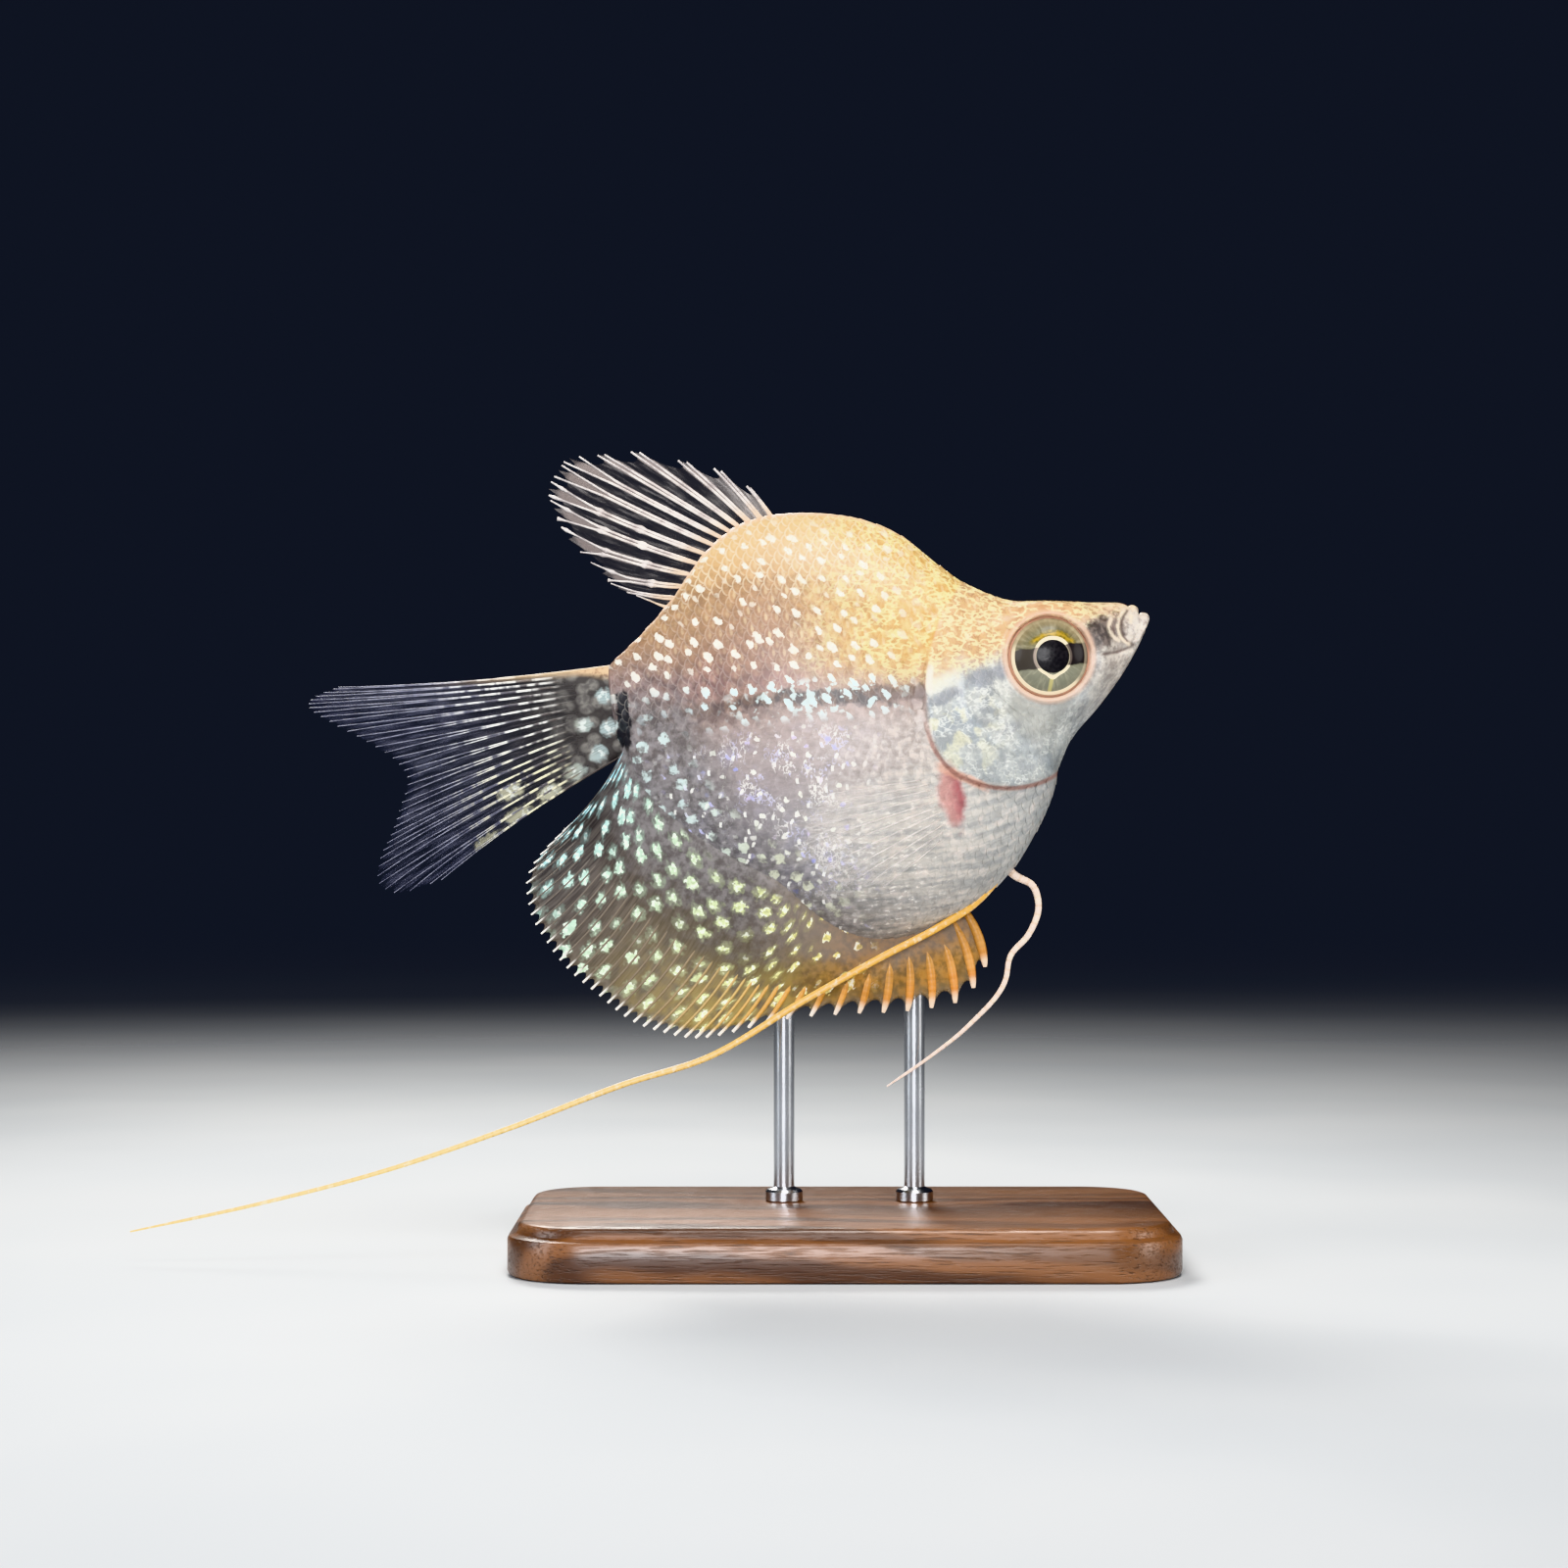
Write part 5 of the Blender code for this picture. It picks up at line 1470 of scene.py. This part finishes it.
class Fin:
    """A fan of rays: a place in it is a share of the way along the root and along the ray."""

    branch = None
    bead = None
    twin = 0

    def __init__(self, **sizes):
        vars(self).update(sizes)

    def tip(self, share):
        return table_at(self.tips, share)

    def point(self, share, t):
        share, t = np.broadcast_arrays(share, t)
        made = bezier(self.root(share), self.tip(share), between(self.bows, share), t)
        size, count, phase = self.waves
        made[..., 1] += size * np.sin(math.tau * (count * share + 0.35 * t) + phase) * t**1.5
        return made

    def length(self, share):
        return np.linalg.norm(self.tip(share) - self.root(share), axis=-1)

    def index(self, share):
        return np.interp(share, self.places, np.arange(len(self.places)))

    def reach(self, share):
        """How far the web goes towards the ray tips: notched between the rays."""
        part = np.abs(np.sin(math.pi * self.index(share))) ** 0.75
        return 1 - between(self.notch, share) * part / self.length(share)

    def fan(self, share, t):
        length = self.length(share)
        return vectors(self.index(share), (1 - t) * length, t * length)

    def across(self):
        return np.array((0, 1, 0))


class Pectoral(Fin):
    def tip(self, share):
        root = self.root(share)
        made = super().tip(share)
        run = root[..., 0] - made[..., 0]
        cup = PECTORAL_CUP * (2 * share - 1) ** 2 * run
        made[..., 1] = root[..., 1] + run * math.tan(PECTORAL_SPLAY) - cup
        return made

    def point(self, share, t):
        made = super().point(share, t)
        made[..., 1] *= self.side
        return made

    def across(self):
        return np.array((math.sin(PECTORAL_SPLAY), self.side * math.cos(PECTORAL_SPLAY), 0))


def web_mesh(fin):
    """A fin's membrane: a closed thin sheet, notched between the rays."""
    gaps = len(fin.places) - 1
    count = gaps * WEB_BETWEEN + 1
    share = np.interp(np.linspace(0, gaps, count), np.arange(gaps + 1), fin.places)[:, None]
    t = np.linspace(0, 1, WEB_ALONG) ** 0.85 * fin.reach(share)
    middle = fin.point(share, t)
    fan = fin.fan(np.broadcast_to(share, t.shape), t)
    flesh, flesh_reach = fin.flesh
    half = fin.web * (1 - 0.6 * t) + flesh(share) * (1 - smooth(fan[..., 2], -1, flesh_reach))
    off = fin.across() * half[..., None]
    points = np.concatenate((middle + off, middle - off)).reshape(-1, 3)
    size = count * WEB_ALONG
    corners = np.arange(size).reshape(count, WEB_ALONG)
    faces = []
    for a in corners[:-1, :-1].ravel().tolist():
        b = a + WEB_ALONG
        faces += [(a, b, b + 1, a + 1), (size + a, size + a + 1, size + b + 1, size + b)]
    for a in corners[:-1, [0, -1]].ravel().tolist():
        faces.append((a, size + a, size + a + WEB_ALONG, a + WEB_ALONG))
    for a in corners[[0, -1], :-1].T.ravel().tolist():
        faces.append((a, a + 1, size + a + 1, size + a))
    mesh = mesh_from("web", points, faces)
    set_attribute(mesh, "fan", np.concatenate((fan, fan)))
    arc = np.broadcast_to(edge_run(fin.tips, share), t.shape)
    set_attribute(mesh, "arc", np.concatenate((arc, arc)).ravel())
    outwards(mesh)
    mesh.shade_smooth()
    return mesh


def ray_lines(fin):
    """Each ray's line, thickness and place in the fan, with its branches."""
    lines = []
    whole = np.linspace(0, 1, RAY_STEPS)
    for i, share in enumerate(fin.places):
        near = fin.places[max(i - 1, 0)]
        far = fin.places[min(i + 1, len(fin.places) - 1)]
        start = fin.branch(share) if fin.branch else None
        if fin.twin:
            paths = [(whole, -1, 1), (whole, 1, 1)]
            start = start or 1
        elif start is None:
            paths = [(whole, 0, 1)]
        else:
            stem = np.linspace(0, start + 0.03, RAY_STEPS // 2)
            fork = np.linspace(start, 1, RAY_STEPS // 2)
            paths = [(stem, 0, 1), (fork, -1, 0.7), (fork, 1, 0.7)]
        for t, side, part in paths:
            spread = np.clip((t - start) / (1.001 - start), 0, 1) if side else 0 * t
            spread = spread + fin.twin * smooth(t, 0, 0.2)
            gap = (share - near) if side < 0 else (far - share)
            at = np.clip(share + side * 0.26 * gap * spread, 0, 1)
            root, tip = (between(ends, share) for ends in zip(*fin.thick))
            half = between((root, tip), t) * part
            fan = fin.fan(at, t)
            fan[:, 0] = i
            if fin.bead:
                half = half + fin.bead(i, fan[:, 2], t)
            lines.append((fin.point(at, t), half, fan))
    return lines


def make_fin(name, node, fin, web_material, ray_material, slot):
    web = add(f"{name}_web", web_mesh(fin), web_material)
    rays = add(f"{name}_rays", tubes(ray_lines(fin), RAY_SIDES, ray_material))
    for piece in (web, rays):
        hand_in(piece, slot, node)


# The feelers' middle lines.
RIGHT_FEELER = (
    (12.7, -0.7, 30.6), (11.6, -0.8, 28.9), (9.9, -1, 27.1), (7.6, -1.5, 25.6), (3, -2.2, 23.2),
    (-3, -2.3, 19.85), (-10.5, -2.3, 15.45), (-16.5, -2.35, 13.55), (-25, -2.45, 10.3),
    (-34.5, -2.6, 7.05), (-44, -2.8, 4.55), (-54, -3, 2.4),
)
LEFT_FEELER = (
    (12.2, 0.75, 30.4), (13.2, 0.85, 29.3), (14.6, 0.95, 28.5), (15.05, 1, 27), (14.3, 1.05, 24.75),
    (12.9, 1.1, 23.1), (12.5, 1.1, 21.2), (9.75, 1.15, 17.8), (6.4, 1.2, 15.1), (3.4, 1.2, 13.05),
)


FEELER_STEP = 0.35
FEELER_SIDES = 14


def feeler_object(name, route, radii, finish):
    knots = lengths_along(np.asarray(route))
    at = np.linspace(0, knots[-1], int(knots[-1] / FEELER_STEP))
    half = np.interp(at / knots[-1], (0, 0.04, 0.12, 0.5, 0.93, 1), radii)
    fan = vectors(0, knots[-1] - at, at)
    return add(name, tubes([(spline(knots, route, at), half, fan)], FEELER_SIDES, finish))


def eye_mesh(side):
    """An eyeball: a flattened ball whose poles lie along Y."""
    deep = side * (ORBIT_LEVEL + EYE_PROUD - EYE_RADII[1])
    turn = Matrix.Rotation(math.radians(90), 4, "X")
    stretch = Matrix.Diagonal((*[r * MM for r in EYE_RADII], 1))
    centre = Vector((EYE_CENTRE[0], deep, EYE_CENTRE[1])) * MM
    mesh = ball("eye", 72, 48, Matrix.Translation(centre) @ stretch @ turn)
    mesh.shade_smooth()
    return mesh


BASE_SIZE = (50, 30)
BASE_CORNER = 6
CORNER_STEPS = 12
# How far each ring of the base stands out of its side, and its height.
BASE_PROFILE = (
    (-0.45, 0), (-0.15, 0.12), (0, 0.45), (0, 2.7), (-0.12, 2.95), (-0.4, 3.05),
    (-0.62, 3.2), (-0.72, 3.45), (-0.78, 3.7), (-0.95, 3.9), (-1.25, 4),
)
ROD_RADIUS = 0.8
ROD_SIDES = 40
ROD_Y = 3.5
ROD_X = {"front": 5.6, "rear": -4.5}
ROD_TOP = 36
# The radius and the height of each ring of a rod, from the collar at its foot.
ROD_PROFILE = (
    (1.35, 4), (1.45, 4.1), (1.45, 4.75), (1.3, 4.95), (0.95, 5.05),
    (ROD_RADIUS, 5.15), (ROD_RADIUS, 20), (ROD_RADIUS, ROD_TOP),
)


def stacked(name, rings, sharp):
    """A closed body from rings of points, one over the other."""
    count = len(rings[0])
    last = (len(rings) - 1) * count
    foot, top = tuple(range(count - 1, -1, -1)), tuple(range(last, last + count))
    faces = [foot, *ring_faces(len(rings), count), top]
    return rounded(outwards(mesh_from(name, np.concatenate(rings), faces)), sharp)


def base_mesh():
    """The base: round corners, a coved shoulder above and an eased edge below."""
    outline = []
    for quarter, (sx, sy) in enumerate(((1, 1), (-1, 1), (-1, -1), (1, -1))):
        centre = (sx * (BASE_SIZE[0] / 2 - BASE_CORNER), sy * (BASE_SIZE[1] / 2 - BASE_CORNER))
        for step in range(CORNER_STEPS + 1):
            angle = math.radians(90 * quarter + 90 * step / CORNER_STEPS)
            outline.append((*centre, math.cos(angle), math.sin(angle)))
    rings = []
    for inset, height in BASE_PROFILE:
        reach = BASE_CORNER + inset
        rings.append([(cx + ux * reach, cy + uy * reach, height) for cx, cy, ux, uy in outline])
    return stacked("stand_plinth", rings, 32)


def rod_mesh(x):
    angles = [math.tau * k / ROD_SIDES for k in range(ROD_SIDES)]
    rings = []
    for radius, height in ROD_PROFILE:
        rings.append([(x + radius * math.cos(a), ROD_Y + radius * math.sin(a), height) for a in angles])
    return stacked("stand_rod", rings, 35)


ANAL_PLACES = places_along(ANAL_TIPS, [1.85] * 9 + [1.6, 1.4, 1.25, 1.1, 0.95] + [0.82] * 33)
ANAL_RUNS = edge_run(ANAL_TIPS, ANAL_PLACES)
ANAL_SPOT_PITCH = 2.5 * float(ANAL_RUNS[-1] - ANAL_RUNS[-2])
ANAL_SPOT_START = float(ANAL_RUNS[-1]) % ANAL_SPOT_PITCH

skin_material = fish_finish("skin", False)
scale_material = fish_finish("scales", True)
eye_material = eye_finish()


def blend_mouth(mesh):
    """Ease the seam between the lips and the snout."""
    shape = bmesh.new()
    shape.from_mesh(mesh)
    bmesh.ops.triangulate(shape, faces=[f for f in shape.faces if len(f.verts) > 4])
    centre = Vector(MOUTH_CENTRE) * MM
    near = [v for v in shape.verts if (v.co - centre).length < MOUTH_REACH * MM]
    axes = {f"use_axis_{axis}": True for axis in "xyz"}
    for turn in range(SEAM_ROUNDS):
        bmesh.ops.smooth_vert(shape, verts=near, factor=SEAM_EASE, **axes)
    shape.to_mesh(mesh)
    shape.free()


def body_mesh():
    """The skin with the lips joined on and the slit between them cut out."""
    whole = add("whole", skin_mesh(), skin_material)
    cutters = []
    for sizes in LIPS:
        line, thick = lip_line(*sizes)
        lip = tubes([(line, thick, np.zeros((len(line), 3)))], LIP_SIDES, skin_material)
        cutters.append(add("lip", lip))
    cutters.append(add("slit", slit_mesh()))
    for cutter, operation in zip(cutters, ("UNION", "UNION", "DIFFERENCE")):
        step = whole.modifiers.new(operation.lower(), "BOOLEAN")
        step.operation = operation
        step.object = cutter
        step.solver = "EXACT"
    mesh = evaluated(whole)
    for cutter in cutters:
        bpy.data.objects.remove(cutter)
    blend_mouth(mesh)
    for name in ("thick", "fan"):
        if name in mesh.attributes:
            mesh.attributes.remove(mesh.attributes[name])
    mark_fish(mesh)
    mark_lie(mesh)
    mesh.shade_smooth()
    return mesh


skin = add("body_skin", body_mesh(), skin_material)
hand_in(skin, "skin", "head", "trunk", "tail_stalk")


# The nape's front and lower end, how far scales keep from the gill's edge and from the eye's
# middle, and where they end at the tail and the snout.
NAPE_FRONT = 13.2
NAPE_LOW = 48.2
GILL_CLEAR = 0.3
EYE_CLEAR = 3.95
SCALED = (-17.3, 18.4)


def on_nape(x, z):
    """The part over the gill cover whose scales run on with the trunk's."""
    return (z > NAPE_LOW) & (x < NAPE_FRONT)


def on_trunk(x, z):
    return ((gill_distance(x, z) > GILL_CLEAR) | on_nape(x, z)) & (x > SCALED[0])


def on_head(x, z):
    clear = (gill_distance(x, z) < -GILL_CLEAR) & (eye_distance(x, z) > EYE_CLEAR)
    return clear & ~on_nape(x, z) & (x < SCALED[1])


def trunk_size(x, z):
    return 1 - 0.22 * (1 - smooth(x, -17, -12)) - 0.2 * smooth(x, 8, 13)


def head_size(x, z):
    return 0.72 - 0.22 * (1 - smooth(eye_distance(x, z), 3.9, 6))


SIDES = ((-1, "right"), (1, "left"))
# Each coat's pitch, the places that it covers, the size of its scales and how far they lift.
COATS = {
    "flank": (SCALE_PITCH, on_trunk, trunk_size, 0.75),
    "head": (HEAD_SCALE_PITCH, on_head, head_size, 0.5),
}
vane = add("vane", vane_mesh())
vane.hide_render = True
for side, side_name in SIDES:
    for region, sizes in COATS.items():
        coat = scale_object(f"{region}_scales_{side_name}", side, vane, skin, scale_material, *sizes)
        hand_in(coat, "skin")
    eye = add(f"{side_name}_eyeball", eye_mesh(side), eye_material)
    hand_in(eye, "eye", f"eye_{side_name}")
bpy.data.objects.remove(vane)


def dorsal_bead(i, run, t):
    """Pale beads along the rear rays."""
    if not 7 <= i <= 10:
        return 0
    return 0.12 * np.maximum(np.sin(run * 1.9 + i * 2.1), 0) ** 8 * smooth(t, 0.15, 0.3)


def anal_swell(i, run, t):
    """The first rays are stout in their outer half."""
    stout = 0.24 if i == 0 else 0.24 * min(max((13 - i) / 8, 0), 1)
    return stout * np.sin(math.pi * t**2) ** 0.8


def anal_flesh(share):
    half = section(between(ANAL_STATIONS, share))[..., 4]
    return 0.53 * half * (0.2 * smooth(share, 0, 0.08) + 0.8 * smooth(share, 0.12, 0.42))


def caudal_flesh(share):
    return 0.8 * np.sqrt(np.maximum(1 - (2 * share - 1) ** 2, 0))


def thin_flesh(share):
    return 0.05 + 0 * share


# Of each fin: how its rays bow in front and behind, how deep the web is notched there, the waves
# along it (height, number, start), the web's half thickness, the flesh over its root and how far
# it reaches, and the rays' half thickness at root and tip, in front and behind.
anal = Fin(
    places=ANAL_PLACES, root=edge_root(ANAL_STATIONS, False, 3), tips=ANAL_TIPS, bows=(-0.2, -0.1),
    notch=(1.15, 0.45), waves=(0.16, 3, 0.4), web=0.08, flesh=(anal_flesh, 9),
    thick=((0.16, 0.15), (0.09, 0.055)), bead=anal_swell,
)
dorsal = Fin(
    places=np.linspace(0, 1, 13), root=edge_root(DORSAL_STATIONS, True, 1.3), tips=DORSAL_TIPS,
    bows=(0.04, -0.08), notch=(1.5, 1), waves=(0.18, 2, 1), web=0.05, flesh=(thin_flesh, 5),
    thick=((0.13, 0.09), (0.11, 0.045)), bead=dorsal_bead, twin=0.4,
    branch=lambda share: 0.7 if share > 0.38 else None,
)
caudal = Fin(
    places=np.linspace(0, 1, 19), root=caudal_root, tips=CAUDAL_TIPS, bows=(-0.03, 0.05),
    notch=(0.3, 0.3), waves=(0.22, 1.5, 2), web=0.06, flesh=(caudal_flesh, 6.5),
    thick=((0.12, 0.04), (0.12, 0.04)), branch=lambda share: 0.42,
)
pectoral_sizes = dict(
    places=np.linspace(0, 1, 11), root=pectoral_root, tips=PECTORAL_TIPS, bows=(0, 0),
    notch=(0.3, 0.3), waves=(0.1, 1.5, 0.5), web=0.05, flesh=(thin_flesh, 1),
    thick=((0.06, 0.025), (0.06, 0.025)),
)

for name, fin, colour_of, alpha_of, ray_colour_of, slot in (
    ("anal", anal, anal_colour, anal_alpha, anal_ray_colour, "anal_fin"),
    ("dorsal", dorsal, dorsal_colour, dorsal_alpha, pale_ray_colour, "clear_fin"),
    ("caudal", caudal, caudal_colour, caudal_alpha, caudal_ray_colour, "clear_fin"),
):
    web_material = web_finish(f"{name}_web", colour_of, alpha_of)
    make_fin(name, f"{name}_fin", fin, web_material, ray_finish(f"{name}_ray", ray_colour_of), slot)
pectoral_web = web_finish("pectoral_web", pectoral_colour, pectoral_alpha)
pectoral_ray = ray_finish("pectoral_ray", pale_ray_colour, 0.1, 0.24)
for side, side_name in SIDES:
    fin = Pectoral(side=side, **pectoral_sizes)
    node = f"pectoral_fin_{side_name}"
    make_fin(f"{side_name}_pectoral", node, fin, pectoral_web, pectoral_ray, "clear_fin")

for name, route, radii, near, far, lengths in (
    (
        "right", RIGHT_FEELER, (0.34, 0.34, 0.28, 0.22, 0.12, 0.05), "e8b24e", "f8da8e",
        ("root", "middle", "tip"),
    ),
    ("left", LEFT_FEELER, (0.34, 0.34, 0.27, 0.2, 0.11, 0.05), "ecd8c8", "ceb8b6", ("root", "tip")),
):
    finish = feeler_finish(f"{name}_feeler", near, far)
    feeler = feeler_object(f"{name}_feeler", route, radii, finish)
    hand_in(feeler, "feeler", *[f"pelvic_feeler_{name}_{length}" for length in lengths])

walnut = walnut_finish()
steel = steel_finish()
hand_in(add("stand_plinth", base_mesh(), walnut), "walnut", "stand_base")
for place, x in ROD_X.items():
    hand_in(add(f"stand_{place}_rod", rod_mesh(x), steel), "steel", f"stand_rod_{place}")

FLOOR_RADIUS = 900
FLOOR_FADE = 200
FLOOR_SIDES = 96


def floor_finish():
    """Pale and plain, fading out far from the stand."""
    finish = Finish("floor", Roughness=0.7)
    place = finish.place()
    x, y, _ = finish.split(place)
    colour = finish.noise(place, 0.02, 2).tones(0.3, 0.7, "babec2", "c2c5c8")
    near = FLOOR_FADE / (span(x, y) + FLOOR_FADE)
    return finish.give(Base_Color=colour, Alpha=near.rise(0.2, 0.8))


angles = np.linspace(0, math.tau, FLOOR_SIDES + 1)[:-1]
floor_points = vectors(FLOOR_RADIUS * np.cos(angles), FLOOR_RADIUS * np.sin(angles), -0.02)
floor = add("floor", mesh_from("floor", floor_points, [tuple(range(FLOOR_SIDES))]), floor_finish())

world = bpy.data.worlds.new("studio")
world.use_nodes = True
world.node_tree.nodes["Background"].inputs["Color"].default_value = srgb("2e3037")
world.node_tree.nodes["Background"].inputs["Strength"].default_value = 1
bpy.context.scene.world = world

# The lamps: name, place, aim, size across, power and colour.
LAMPS = (
    ("key", (30, -170, 280), (0, 0, 42), 140, 0.95, (1, 0.97, 0.93)),
    ("rear_fill", (-300, -110, 104), (0, 0, 32), 200, 0.5, (0.9, 0.95, 1)),
    ("head_fill", (300, -120, 94), (5, 0, 38), 180, 0.4, (1, 0.99, 0.97)),
    ("low_fill", (-30, -330, 78), (-5, 0, 26), 140, 0.85, (0.98, 0.98, 1)),
    ("rim", (-60, 200, 200), (0, 0, 45), 120, 0.8, (1, 0.97, 0.92)),
)
for name, place, aim, size, power, colour in LAMPS:
    lamp = bpy.data.lights.new(name, "AREA")
    lamp.shape = "DISK"
    lamp.size = size * MM
    lamp.energy = power
    lamp.color = colour
    lamp_object = link(name, lamp)
    lamp_object.location = Vector(place) * MM
    lamp_object.rotation_euler = (Vector(aim) - Vector(place)).to_track_quat("-Z", "Y").to_euler()

CAMERA_LENS = 85
FILM_WIDTH = 36
VIEW_WIDTH = 120
VIEW_CENTRE = (-4.5, 36.3)
camera_data = bpy.data.cameras.new("camera")
camera_data.lens = CAMERA_LENS
camera_data.sensor_width = FILM_WIDTH
camera_data.clip_start = 0.01
camera = link("camera", camera_data)
distance = VIEW_WIDTH * CAMERA_LENS / FILM_WIDTH
camera.location = Vector((VIEW_CENTRE[0], -distance, VIEW_CENTRE[1])) * MM
camera.rotation_euler = (math.radians(90), 0, 0)
bpy.context.scene.camera = camera
bpy.context.scene.view_settings.view_transform = "Khronos PBR Neutral"
